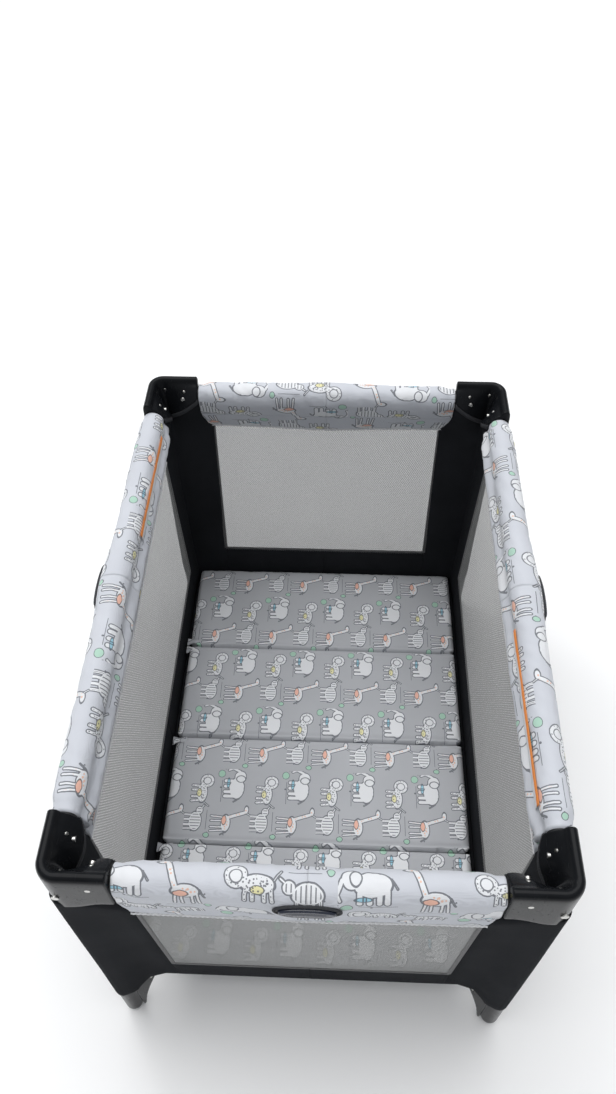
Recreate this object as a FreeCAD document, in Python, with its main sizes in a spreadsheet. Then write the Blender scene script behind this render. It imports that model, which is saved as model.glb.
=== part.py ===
"""Folding travel playpen: corner legs, two-part top rails, centre hub, mesh walls and a folding mattress.

Frame: +Z up, X across the width, Y along the length, origin on the floor at the centre of the footprint.
"front" is -Y, "left" is -X.  All sizes are millimetres.

The frame folds as one linkage.  Seen along X or along Y, each rail half and each floor strut span the
same distance between their pins, so they turn through the same angle and every corner stays upright.
"""
import FreeCAD
import Part
import Sketcher
import math
import os
import re

DOC = FreeCAD.newDocument("playpen")
OUT = "parts"

# ----------------------------------------------------------------------------- driving dimensions
SIZES = {
    # where the four legs stand, and the levels of the frame
    "leg_axis_x": 342,          # half the distance between leg axes across the width
    "leg_axis_y": 492,          # half the distance between leg axes along the length
    "rail_level": 700,          # axis of the top rails
    "strut_level": 100,         # axis of the floor struts
    "cap_top": 735,
    # pins of the linkage, measured along X and along Y from the leg axis or from the centre
    "cap_pin": 50,              # leg axis to rail pin
    "latch_pin": 30,            # middle of a rail to its two latch pins
    "foot_pin": 30,             # leg axis to strut pin
    "hub_pin": 50,              # hub centre to strut pin
    "pin_radius": 4,
    "pin_gap": 0.2,             # running clearance round a pin
    "fit_gap": 0.1,             # clearance round a pin or tube that is fixed
    # tubes
    "tube_radius": 11,          # legs and rails
    "strut_radius": 9,
    "tube_wall": 1.2,
    "rail_tail": 9,             # rail tube past its pins
    "strut_tail": 8,            # strut tube past its pins
    "leg_bottom": 12,
    "leg_top": 680,
    # corner cap
    "cap_outside": 20,          # leg axis to the cap's outer faces
    "cap_inside": 20,           # leg axis to the cap's inner faces
    "cap_arm": 80,              # leg axis to the ends of its arms
    "cap_skirt": 655,           # underside of the arms
    "cap_collar": 612,          # underside of the collar round the leg
    "cap_collar_radius": 19.5,
    "cap_corner": 30,           # outer corner in plan
    "cap_inner_corner": 12,
    "cap_edge": 8,              # rounding of the top edges
    "cap_dish": 4,              # depth of the hollow on top
    "cap_rim": 10,              # width of the rim round that hollow
    "cap_dish_corner": 12,      # how much of the hollow's outer corner is cut off
    "cap_roof": 716,            # top of the channels that the rails drop through
    "cap_channel": 15.5,        # half the width of those channels
    "cap_channel_start": 32,    # leg axis to the closed ends of the channels
    "cap_rivet_level": 670,
    "rivet_radius": 3,
    "rivet_head": 5.5,
    "rivet_head_height": 1.5,
    # rail padding
    "pad_radius": 23,
    "pad_gap": 0.3,
    "pad_from_cap_pin": 56,     # rail pin to the end of the padding, clear of the cap as the rail drops
    "pad_from_middle": 54,      # middle of the rail to the other end
    # rail latch
    "latch_half_length": 50,
    "latch_half_width": 18,
    "latch_wall": 4,
    "latch_bottom": 681,
    "latch_top": 712,
    "button_level": 688,
    "button_half_length": 39,
    "button_half_height": 13,
    "button_face": 38,          # rail axis to the face of the button
    "button_back": 26,
    "button_stem_radius": 5,
    "button_stem_end": 12,
    "button_gap": 0.5,
    "button_travel": 6,
    "guide_wall": 3,
    "guide_face": 32,
    # hub
    "hub_half": 66,
    "hub_bottom": 88,
    "hub_top": 118,
    "hub_corner": 20,
    "hub_roof": 113,            # top of the channels that the struts drop through
    "hub_channel": 10.3,
    "hub_pocket_radius": 24,
    "hub_pocket_top": 110,
    "hub_lid_half": 60,
    "hub_lid_top": 123,
    "hub_pin_half_length": 16,
    "screw_radius": 2.4,
    "screw_head": 4.5,
    "screw_head_bottom": 121,
    "screw_circle": 46,
    "screw_bottom": 104,
    # pull strap
    "strap_half_width": 12.5,
    "strap_thick": 2,
    "strap_half_length": 90,
    "strap_level": 129.5,
    "strap_bottom": 119,
    # foot
    "foot_top": 124,
    "foot_column_radius": 17,
    "foot_tip_radius": 13,
    "foot_tip_height": 14,
    "foot_half_width": 15,
    "foot_reach": 38,           # strut pin to the inner end of the foot's cheeks
    "foot_heel": 36,            # strut pin to the back of the foot's web
    "foot_web_bottom": 20,
    "foot_hollow_radius": 84,   # the curve under the foot
    "foot_hollow_x": 54,
    "foot_hollow_z": 14,
    "foot_channel": 10.3,
    "foot_channel_bottom": 86,
    "foot_channel_start": 13,
    # fabric
    "wall_thick": 4,
    "wall_inside_x": 318,       # inner face of a side wall at its foot
    "wall_inside_y": 468,       # inner face of an end wall at its foot
    "wall_lean": 36,            # how much further out the walls are at their top
    "wall_bottom": 126,
    "wall_top": 650,
    "pocket_top": 608,
    "pocket_radius": 18,
    "pocket_thick": 2,
    "pocket_edge": 10,          # leg axis to the end of a wall, at the top of the pocket
    "collar_edge": 20,          # leg axis to the end of a wall, beside the cap's collar
    "seam_gap": 0.5,
    "floor_bottom": 127,
    "floor_thick": 2,
    "floor_margin": 2,
    # mattress
    "mattress_half_width": 313,
    "mattress_half_length": 467,
    "mattress_bottom": 132,
    "mattress_thick": 26,
    "mattress_edge": 9,
    "fold_gap": 0.5,
}

SHEET = DOC.addObject("Spreadsheet::Sheet", "size")
for row, (alias, value) in enumerate(SIZES.items(), start=1):
    SHEET.set(f"A{row}", alias.replace("_", " "))
    SHEET.set(f"B{row}", str(value))
    SHEET.setAlias(f"B{row}", alias)
DOC.recompute()

SIDES = {"left": -1, "right": 1}
ENDS = {"front": -1, "back": 1}
CORNERS = {f"{end}_{side}": (sx, sy) for end, sy in ENDS.items() for side, sx in SIDES.items()}


# ----------------------------------------------------------------------------- helpers
def cell(alias):
    """The value of one driving dimension."""
    return float(SHEET.get(alias))


def bound(text):
    """An expression on the sheet's cells, from words such as "cap_top - cap_dish"."""
    return re.sub(r"[a-z][a-z_]+", lambda word: "size." + word[0] if word[0] in SIZES else word[0], str(text))


def bind(thing, **properties):
    """Bind properties to the sheet: Length="tube_wall * 2".  A double underscore stands for a dot."""
    for name, text in properties.items():
        thing.setExpression(name.replace("__", "."), bound(text))
    return thing


def place(thing, at, axis=(0, 0, 1), turn=0):
    """Put a primitive's base at expressions (x, y, z), turned by so many degrees about an axis."""
    thing.Placement = FreeCAD.Placement(FreeCAD.Vector(), FreeCAD.Rotation(FreeCAD.Vector(*axis), turn))
    return bind(thing, Placement__Base__x=at[0], Placement__Base__y=at[1], Placement__Base__z=at[2])


def box(name, low, high, at=("0", "0", "0"), turn=0):
    """A block from its low corner to its high corner, as expressions in a frame at `at`, turned about Z."""
    block = DOC.addObject("Part::Box", name)
    sizes = [f"({b}) - ({a})" for a, b in zip(low, high)]
    bind(block, Length=sizes[0], Width=sizes[1], Height=sizes[2])
    cos, sin = math.cos(math.radians(turn)), math.sin(math.radians(turn))
    base = (f"({at[0]}) + ({low[0]}) * {cos:.12f} - ({low[1]}) * {sin:.12f}",
            f"({at[1]}) + ({low[0]}) * {sin:.12f} + ({low[1]}) * {cos:.12f}",
            f"({at[2]}) + ({low[2]})")
    return place(block, base, turn=turn)


def rod(name, radius, length, at, axis=(1, 0, 0), turn=0):
    """A cylinder that starts at `at` and points along Z, or another way once it is turned."""
    cylinder = DOC.addObject("Part::Cylinder", name)
    bind(cylinder, Radius=radius, Height=length)
    return place(cylinder, at, axis, turn)


def along(direction):
    """The axis and angle that turn +Z to a horizontal direction."""
    return (-direction[1], direction[0], 0), 90


def cross_rod(name, radius, half_length, at, direction):
    """A cylinder centred at `at`, lying along a horizontal direction."""
    axis, turn = along(direction)
    base = (f"({at[0]}) - ({half_length}) * {direction[0]:.12f}",
            f"({at[1]}) - ({half_length}) * {direction[1]:.12f}", at[2])
    return rod(name, radius, f"2 * ({half_length})", base, axis, turn)


def fuse(name, *things, refine=True):
    joined = DOC.addObject("Part::MultiFuse", name)
    joined.Shapes = list(things)
    joined.Refine = refine
    return joined


def cut(name, base, *tools):
    """The base without the tools."""
    tool = tools[0] if len(tools) == 1 else fuse(name + "_tools", *tools)
    result = DOC.addObject("Part::Cut", name)
    result.Base = base
    result.Tool = tool
    return result


def fillet(name, base, radius, chosen):
    """Round the edges of a Part object that `chosen` picks."""
    DOC.recompute()
    rounded = DOC.addObject("Part::Fillet", name)
    rounded.Base = base
    edges = base.Shape.Edges
    rounded.Edges = [(i, cell(radius), cell(radius)) for i, edge in enumerate(edges, 1) if chosen(edge)]
    return rounded


def is_upright(edge):
    return isinstance(edge.Curve, Part.Line) and abs(edge.tangentAt(edge.FirstParameter).z) > 0.99


def is_at(edge, z):
    bounds = edge.BoundBox
    return abs(bounds.ZMin - z) < 0.01 and abs(bounds.ZMax - z) < 0.01


NODES = {}


def node(name, thing):
    """Name a finished sub-part."""
    thing.Label = name
    NODES[name] = thing
    return thing


# ----------------------------------------------------------------------------- sketched bodies
def origin_plane(body, role):
    return next(feature for feature in body.Origin.OriginFeatures if feature.Role == role)


def value(text):
    """The number that a sum of cells stands for, such as "cap_arm - cap_rim"."""
    words = re.sub(r"[a-z][a-z_]+", lambda word: str(cell(word[0])), str(text))
    total = 0.0
    for sign, number in re.findall(r"([+-]?)\s*([0-9.]+)", words):
        total += -float(number) if sign == "-" else float(number)
    return total


def new_sketch(body, name, level, plane):
    outline = body.newObject("Sketcher::SketchObject", name)
    outline.AttachmentSupport = [(origin_plane(body, plane), "")]
    outline.MapMode = "FlatFace"
    outline.setExpression("AttachmentOffset.Base.z", bound(level))
    return outline


def drive_point(outline, geometry, vertex, point):
    """Hold one point of a sketch at expressions (x, y) from the sketch's origin."""
    for kind, text in zip(("DistanceX", "DistanceY"), point):
        outline.addConstraint(Sketcher.Constraint(kind, -1, 1, geometry, vertex, value(text)))
        outline.setExpression(f"Constraints[{outline.ConstraintCount - 1}]", bound(text))


def polygon(body, name, points, level="0", plane="XY_Plane"):
    """A closed outline of straight lines, with every corner driven from the sheet."""
    outline = new_sketch(body, name, level, plane)
    corners = [FreeCAD.Vector(value(x), value(y), 0) for x, y in points]
    for start, end in zip(corners, corners[1:] + corners[:1]):
        outline.addGeometry(Part.LineSegment(start, end), False)
    for i, point in enumerate(points):
        outline.addConstraint(Sketcher.Constraint("Coincident", i, 2, (i + 1) % len(points), 1))
        drive_point(outline, i, 1, point)
    return outline


def disc(body, name, radius, at=("0", "0"), level="0", plane="XY_Plane"):
    """A circle in a sketch, its centre and radius driven from the sheet."""
    outline = new_sketch(body, name, level, plane)
    centre = FreeCAD.Vector(value(at[0]), value(at[1]), 0)
    outline.addGeometry(Part.Circle(centre, FreeCAD.Vector(0, 0, 1), value(radius)), False)
    drive_point(outline, 0, 3, at)
    outline.addConstraint(Sketcher.Constraint("Radius", 0, value(radius)))
    outline.setExpression(f"Constraints[{outline.ConstraintCount - 1}]", bound(radius))
    return outline


def feature(body, kind, name, profile, length=None, reverse=False):
    """A Pad or Pocket of a profile; with no length it goes through everything, both ways."""
    made = body.newObject("PartDesign::" + kind, name)
    made.Profile = profile
    made.Reversed = reverse
    if length is None:
        made.Type = "ThroughAll"
        made.Midplane = True
    else:
        made.setExpression("Length", bound(length))
    DOC.recompute()
    return made


def round_edges(body, name, base, radius, chosen):
    """A PartDesign fillet on the edges of the last feature that `chosen` picks."""
    made = body.newObject("PartDesign::Fillet", name)
    edges = base.Shape.Edges
    made.Base = (base, [f"Edge{i}" for i, edge in enumerate(edges, 1) if chosen(edge)])
    made.setExpression("Radius", bound(radius))
    DOC.recompute()
    return made


def upright_at(x, y):
    """Picks the upright edge over one point in plan."""
    def chosen(edge):
        middle = edge.BoundBox.Center
        return is_upright(edge) and abs(middle.x - x) < 0.01 and abs(middle.y - y) < 0.01
    return chosen


# ----------------------------------------------------------------------------- corners
STRUT_SPAN = [cell(name) - cell("foot_pin") - cell("hub_pin") for name in ("leg_axis_x", "leg_axis_y")]


def strut_direction(sx, sy):
    """The horizontal unit vector from the hub out along one corner's strut."""
    length = math.hypot(*STRUT_SPAN)
    return sx * STRUT_SPAN[0] / length, sy * STRUT_SPAN[1] / length


def leg_tube(corner, sx, sy):
    """A round steel upright, drilled near its top for the rivet that holds the cap."""
    at = (f"{sx} * leg_axis_x", f"{sy} * leg_axis_y")
    outside = rod(f"leg_{corner}_outside", "tube_radius", "leg_top - leg_bottom", (*at, "leg_bottom"))
    inside = rod(f"leg_{corner}_inside", "tube_radius - tube_wall", "leg_top - leg_bottom", (*at, "leg_bottom"))
    rivet = cross_rod(f"leg_{corner}_rivet_hole", "rivet_radius + fit_gap", "cap_outside",
                      (*at, "cap_rivet_level"), (0, 1))
    node(f"leg_tube_{corner}", cut(f"leg_{corner}", outside, inside, rivet))


def corner_cap(corner, sx, sy):
    """An L-shaped moulded cap: solid round the leg, with a channel under each arm for a rail to drop through.

    It is drawn with the leg at the origin and the arms along +X and +Y, then turned to its corner.
    """
    body = DOC.addObject("PartDesign::Body", f"cap_{corner}")
    outline = polygon(body, f"cap_{corner}_outline", [
        ("-cap_outside", "-cap_outside"), ("cap_arm", "-cap_outside"), ("cap_arm", "cap_inside"),
        ("cap_inside", "cap_inside"), ("cap_inside", "cap_arm"), ("-cap_outside", "cap_arm")], "cap_skirt")
    pad = feature(body, "Pad", f"cap_{corner}_block", outline, "cap_top - cap_skirt")
    low, high = -cell("cap_outside"), cell("cap_inside")
    outer = round_edges(body, f"cap_{corner}_corner", pad, "cap_corner", upright_at(low, low))
    inner = round_edges(body, f"cap_{corner}_inner", outer, "cap_inner_corner", upright_at(high, high))
    top = cell("cap_top")
    round_edges(body, f"cap_{corner}_edges", inner, "cap_edge", lambda edge: is_at(edge, top))

    rim = ("cap_rim - cap_outside", "cap_arm - cap_rim", "cap_inside - cap_rim")
    cut_corner = f"{rim[0]} + cap_dish_corner"
    dish = polygon(body, f"cap_{corner}_dish_outline", [
        (cut_corner, rim[0]), (rim[1], rim[0]), (rim[1], rim[2]), (rim[2], rim[2]), (rim[2], rim[1]),
        (rim[0], rim[1]), (rim[0], cut_corner)], "cap_top")
    feature(body, "Pocket", f"cap_{corner}_dish", dish, "cap_dish")

    start, end, half = "cap_channel_start", "cap_arm + 1", "cap_channel"
    for way, points in {"x": [(start, f"-{half}"), (end, f"-{half}"), (end, half), (start, half)],
                        "y": [(f"-{half}", start), (half, start), (half, end), (f"-{half}", end)]}.items():
        channel = polygon(body, f"cap_{corner}_channel_{way}_outline", points, "cap_skirt")
        feature(body, "Pocket", f"cap_{corner}_channel_{way}", channel, "cap_roof - cap_skirt", reverse=True)
        plane = "XZ_Plane" if way == "x" else "YZ_Plane"
        hole = disc(body, f"cap_{corner}_pin_{way}_outline", "pin_radius + fit_gap", ("cap_pin", "rail_level"),
                    plane=plane)
        feature(body, "Pocket", f"cap_{corner}_pin_{way}", hole)
    collar = disc(body, f"cap_{corner}_collar_outline", "cap_collar_radius", level="cap_collar")
    feature(body, "Pad", f"cap_{corner}_collar", collar, "cap_skirt - cap_collar")
    bore = disc(body, f"cap_{corner}_bore_outline", "tube_radius + fit_gap", level="cap_collar")
    feature(body, "Pocket", f"cap_{corner}_bore", bore, "leg_top - cap_collar", reverse=True)
    if sx == sy:
        rivet = disc(body, f"cap_{corner}_rivet_outline", "rivet_radius + fit_gap", ("0", "cap_rivet_level"),
                     "cap_outside + 1", "XZ_Plane")
    else:
        rivet = disc(body, f"cap_{corner}_rivet_outline", "rivet_radius + fit_gap", ("0", "cap_rivet_level"),
                     "-cap_outside - 1", "YZ_Plane")
    feature(body, "Pocket", f"cap_{corner}_rivet", rivet, "cap_outside * 2 - 1", reverse=sx != sy)
    turn = {(-1, -1): 0, (1, -1): 90, (1, 1): 180, (-1, 1): 270}[sx, sy]
    node(f"corner_cap_{corner}", place(body, (f"{sx} * leg_axis_x", f"{sy} * leg_axis_y", "0"), turn=turn))


def foot(corner, sx, sy):
    """A horn-shaped moulded foot: a column round the leg, and two cheeks that hold the floor strut's pin."""
    ux, uy = strut_direction(sx, sy)
    turn = math.degrees(math.atan2(-uy, -ux))
    pin = (f"{sx} * (leg_axis_x - foot_pin)", f"{sy} * (leg_axis_y - foot_pin)", "0")
    leg = (f"{sx} * leg_axis_x", f"{sy} * leg_axis_y")
    side = (-uy, ux)
    web = box(f"foot_{corner}_web", ("-foot_heel", "-foot_half_width", "foot_web_bottom"),
              ("foot_reach", "foot_half_width", "foot_top"), pin, turn)
    under = (f"{pin[0]} - foot_hollow_x * {ux:.12f}", f"{pin[1]} - foot_hollow_x * {uy:.12f}", "foot_hollow_z")
    hollow = cross_rod(f"foot_{corner}_hollow", "foot_hollow_radius", "foot_half_width + 1", under, side)
    column = rod(f"foot_{corner}_column", "foot_column_radius", "foot_top - foot_tip_height",
                 (*leg, "foot_tip_height"))
    tip = DOC.addObject("Part::Cone", f"foot_{corner}_tip")
    bind(tip, Radius1="foot_tip_radius", Radius2="foot_column_radius", Height="foot_tip_height")
    place(tip, (*leg, "0"))
    solid = fuse(f"foot_{corner}_solid", cut(f"foot_{corner}_horn", web, hollow), column, tip)
    channel = box(f"foot_{corner}_channel", ("-foot_channel_start", "-foot_channel", "foot_channel_bottom"),
                  ("foot_reach + 1", "foot_channel", "foot_top + 1"), pin, turn)
    bore = rod(f"foot_{corner}_bore", "tube_radius + fit_gap", "foot_top", (*leg, "leg_bottom"))
    pin_hole = cross_rod(f"foot_{corner}_pin_hole", "pin_radius + fit_gap", "foot_half_width + 1",
                         (pin[0], pin[1], "strut_level"), side)
    node(f"foot_{corner}", cut(f"foot_{corner}_body", solid, channel, bore, pin_hole))


def corner_pins(corner, sx, sy):
    """The two rail pins and the rivet of a cap, and the strut pin of its foot."""
    x, y = f"{sx} * leg_axis_x", f"{sy} * leg_axis_y"
    outside, inside = "cap_outside", "cap_inside"
    length = f"{outside} + {inside}"
    outward_x = (f"{sx} * (leg_axis_x + {outside})", f"{sy} * (leg_axis_y - cap_pin)", "rail_level")
    outward_y = (f"{sx} * (leg_axis_x - cap_pin)", f"{sy} * (leg_axis_y + {outside})", "rail_level")
    rail_pins = [rod(f"pin_{corner}_x", "pin_radius", length, outward_x, *along((-sx, 0))),
                 rod(f"pin_{corner}_y", "pin_radius", length, outward_y, *along((0, -sy)))]
    shank = rod(f"pin_{corner}_rivet", "rivet_radius", f"{outside} + tube_radius + 5",
                (x, f"{sy} * (leg_axis_y + {outside})", "cap_rivet_level"), *along((0, -sy)))
    head = rod(f"pin_{corner}_rivet_head", "rivet_head", "rivet_head_height",
               (x, f"{sy} * (leg_axis_y + {outside})", "cap_rivet_level"), *along((0, sy)))
    ux, uy = strut_direction(sx, sy)
    strut_pin = cross_rod(f"pin_{corner}_strut", "pin_radius", "foot_half_width",
                          (f"{sx} * (leg_axis_x - foot_pin)", f"{sy} * (leg_axis_y - foot_pin)", "strut_level"),
                          (-uy, ux))
    group = DOC.addObject("Part::Compound", f"pins_{corner}")
    group.Links = [*rail_pins, fuse(f"pin_{corner}_whole_rivet", shank, head), strut_pin]
    node(f"corner_pins_{corner}", group)


def floor_strut(corner, sx, sy):
    """A steel tube from the hub to the foot, drilled at both ends."""
    ux, uy = strut_direction(sx, sy)
    span = "sqrt((leg_axis_x - foot_pin - hub_pin)^2 + (leg_axis_y - foot_pin - hub_pin)^2)"
    base = (f"{sx} * hub_pin - strut_tail * {ux:.12f}", f"{sy} * hub_pin - strut_tail * {uy:.12f}", "strut_level")
    length = f"{span} + 2 * strut_tail"
    outside = rod(f"strut_{corner}_outside", "strut_radius", length, base, *along((ux, uy)))
    inside = rod(f"strut_{corner}_inside", "strut_radius - tube_wall", length, base, *along((ux, uy)))
    holes = [cross_rod(f"strut_{corner}_hole_{name}", "pin_radius + pin_gap", "strut_radius + 1", (x, y, "strut_level"),
                       (-uy, ux))
             for name, x, y in (("hub", f"{sx} * hub_pin", f"{sy} * hub_pin"),
                                ("foot", f"{sx} * (leg_axis_x - foot_pin)", f"{sy} * (leg_axis_y - foot_pin)"))]
    node(f"floor_strut_{corner}", cut(f"strut_{corner}", outside, inside, *holes))


def signed(sign, low, high):
    """A span on one side of the middle, as (low, high) expressions."""
    return (low, high) if sign > 0 else (f"-({high})", f"-({low})")


def corner_box(name, sx, sy, x_span, y_span, z_span):
    (x0, x1), (y0, y1) = signed(sx, *x_span), signed(sy, *y_span)
    return box(name, (x0, y0, z_span[0]), (x1, y1, z_span[1]))


def leaning_wall(name, sx, sy, across, z_span, ends):
    """One flat stretch of a quarter's wall, from the middle of the playpen to the leg, leaning out towards its top.

    `across` is "y" for an end wall, which runs along X, or "x" for a side wall, which runs along Y.
    `ends` are the distances of its outer end from the middle, at the foot and at the top of the stretch.
    """
    wedge = DOC.addObject("Part::Wedge", name)
    wedge.Placement.Rotation = FreeCAD.Rotation(FreeCAD.Vector(1, 0, 0), 90)
    planes = [f"wall_inside_{across} + wall_lean * ({z} - wall_bottom) / (wall_top - wall_bottom)" for z in z_span]
    for plane, end, prefix in zip(planes, ends, ("", "2")):
        along_wall, thickness = ("seam_gap", end), (plane, f"{plane} + wall_thick")
        x_span = signed(sx, *(along_wall if across == "y" else thickness))
        y_span = signed(sy, *(thickness if across == "y" else along_wall))
        bind(wedge, **{f"X{prefix}min": x_span[0], f"X{prefix}max": x_span[1],
                       f"Z{prefix}min": f"-({y_span[1]})", f"Z{prefix}max": f"-({y_span[0]})"})
    return bind(wedge, Ymin=z_span[0], Ymax=z_span[1])


def wall_fabric(corner, sx, sy):
    """A quarter of the walls: half an end wall, half a side wall, and the pocket round the leg between them."""
    pieces = []
    for across, along_axis in (("y", "x"), ("x", "y")):
        low_end, high_end = f"wall_inside_{along_axis} + wall_thick / 2", f"leg_axis_{along_axis} - pocket_edge"
        pieces.append(leaning_wall(f"wall_{corner}_{across}_low", sx, sy, across, ("wall_bottom", "pocket_top"),
                                   (low_end, high_end)))
        pieces.append(leaning_wall(f"wall_{corner}_{across}_high", sx, sy, across, ("pocket_top", "wall_top"),
                                   (f"leg_axis_{along_axis} - collar_edge",) * 2))
    leg = (f"{sx} * leg_axis_x", f"{sy} * leg_axis_y", "wall_bottom")
    height = "pocket_top - wall_bottom"
    pieces.append(rod(f"wall_{corner}_pocket", "pocket_radius", height, leg))
    inside = rod(f"wall_{corner}_pocket_inside", "pocket_radius - pocket_thick", height, leg)
    node(f"wall_fabric_{corner}", cut(f"wall_{corner}", fuse(f"wall_{corner}_solid", *pieces, refine=False), inside))


def floor_fabric(corner, sx, sy):
    """A quarter of the floor cloth, with its share of the slot for the pull strap."""
    sheet = corner_box(f"floor_{corner}_sheet", sx, sy, ("seam_gap", "wall_inside_x - floor_margin"),
                       ("seam_gap", "wall_inside_y - floor_margin"), ("floor_bottom", "floor_bottom + floor_thick"))
    slot = corner_box(f"floor_{corner}_slot", sx, sy, ("0", "strap_half_width + 2"), ("0", "strap_thick + 1"),
                      ("floor_bottom - 1", "floor_bottom + floor_thick + 1"))
    node(f"floor_fabric_{corner}", cut(f"floor_{corner}", sheet, slot))


# ----------------------------------------------------------------------------- top rails
RAILS = {
    "front": {"out": (0, -1), "halves": {"left": (-1, 0), "right": (1, 0)}},
    "back": {"out": (0, 1), "halves": {"left": (-1, 0), "right": (1, 0)}},
    "left": {"out": (-1, 0), "halves": {"front": (0, -1), "back": (0, 1)}},
    "right": {"out": (1, 0), "halves": {"front": (0, -1), "back": (0, 1)}},
}


def on_rail(out, way, distance, outward="0"):
    """The point of a rail's axis at a distance from its middle, moved outward if need be."""
    middle = (f"{out[0]} * (leg_axis_x + {outward})", f"{out[1]} * (leg_axis_y + {outward})")
    return f"{middle[0]} + {way[0]} * ({distance})", f"{middle[1]} + {way[1]} * ({distance})", "rail_level"


def rail_half(rail, half, out, way):
    """A rail tube with a pin hole at each end, and the foam padding round it."""
    name = f"{rail}_rail_{half}"
    far_pin = ("leg_axis_x" if way[0] else "leg_axis_y") + " - cap_pin"
    start = on_rail(out, way, "latch_pin - rail_tail")
    length = f"{far_pin} - latch_pin + 2 * rail_tail"
    outside = rod(f"{name}_outside", "tube_radius", length, start, *along(way))
    inside = rod(f"{name}_inside", "tube_radius - tube_wall", length, start, *along(way))
    holes = [cross_rod(f"{name}_hole_{end}", "pin_radius + pin_gap", "tube_radius + 1", on_rail(out, way, at), out)
             for end, at in (("latch", "latch_pin"), ("cap", far_pin))]
    node(f"{rail}_rail_tube_{half}", cut(name, outside, inside, *holes))
    pad_start = on_rail(out, way, "pad_from_middle")
    pad_length = f"{far_pin} - pad_from_cap_pin - pad_from_middle"
    padding = rod(f"{name}_foam", "pad_radius", pad_length, pad_start, *along(way))
    core = rod(f"{name}_foam_inside", "tube_radius + pad_gap", pad_length, pad_start, *along(way))
    node(f"{rail}_rail_pad_{half}", cut(f"{name}_pad", padding, core))


def oval(name, out, grow, start, end):
    """An upright oval plate on a rail's outer side, grown all round, between two distances from the rail's axis."""
    face = DOC.addObject("Part::Ellipse", name + "_outline")
    bind(face, MajorRadius=f"button_half_length + {grow}", MinorRadius=f"button_half_height + {grow}")
    turn = math.degrees(math.atan2(out[1], out[0])) - 90
    at = on_rail(out, (0, 0), "0", start)
    place(face, (at[0], at[1], "button_level"))
    face.Placement.Rotation = (FreeCAD.Rotation(FreeCAD.Vector(0, 0, 1), turn)
                               * FreeCAD.Rotation(FreeCAD.Vector(1, 0, 0), 90))
    plate = DOC.addObject("Part::Extrusion", name)
    plate.Base = face
    plate.DirMode = "Custom"
    plate.Dir = FreeCAD.Vector(*out, 0)
    plate.Solid = True
    return bind(plate, LengthFwd=f"({end}) - ({start})")


def level_at(point, level):
    """A point of the plan, at a level."""
    return point[0], point[1], level


def rail_latch(rail, out):
    """The channel between a rail's two halves, with its two pins and the oval guide of its release button."""
    turn = math.degrees(math.atan2(out[1], out[0])) - 90
    middle = on_rail(out, (0, 0), "0")
    at = (middle[0], middle[1], "0")
    block = box(f"{rail}_latch_block", ("-latch_half_length", "-latch_half_width", "latch_bottom"),
                ("latch_half_length", "latch_half_width", "latch_top"), at, turn)
    channel = box(f"{rail}_latch_channel",
                  ("-latch_half_length - 1", "latch_wall - latch_half_width", "latch_bottom + latch_wall"),
                  ("latch_half_length + 1", "latch_half_width - latch_wall", "latch_top + 1"), at, turn)
    way = (-out[1], out[0])
    pins = [cross_rod(f"{rail}_latch_pin_{i}", "pin_radius", "latch_half_width", on_rail(out, way, text), out)
            for i, text in enumerate(("-latch_pin", "latch_pin"))]
    guide = cut(f"{rail}_latch_guide",
                oval(f"{rail}_guide_outside", out, "button_gap + guide_wall", "latch_half_width - 1", "guide_face"),
                oval(f"{rail}_guide_inside", out, "button_gap", "latch_half_width", "guide_face + 1"))
    stem_hole = rod(f"{rail}_stem_hole", "button_stem_radius + pin_gap",
                    "latch_half_width + 2 + button_travel - button_stem_end",
                    level_at(on_rail(out, (0, 0), "0", "button_stem_end - button_travel - 1"), "button_level"),
                    *along(out))
    shell = fuse(f"{rail}_latch_shell", cut(f"{rail}_latch_tray", block, channel), *pins, guide)
    node(f"{rail}_latch_housing", cut(f"{rail}_latch", shell, stem_hole))

    face = oval(f"{rail}_button_face", out, "0", "button_back", "button_face")
    stem = rod(f"{rail}_button_stem", "button_stem_radius", "button_back - button_stem_end + 1",
               level_at(on_rail(out, (0, 0), "0", "button_stem_end"), "button_level"), *along(out))
    node(f"{rail}_release_button", fuse(f"{rail}_button", face, stem))


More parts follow.
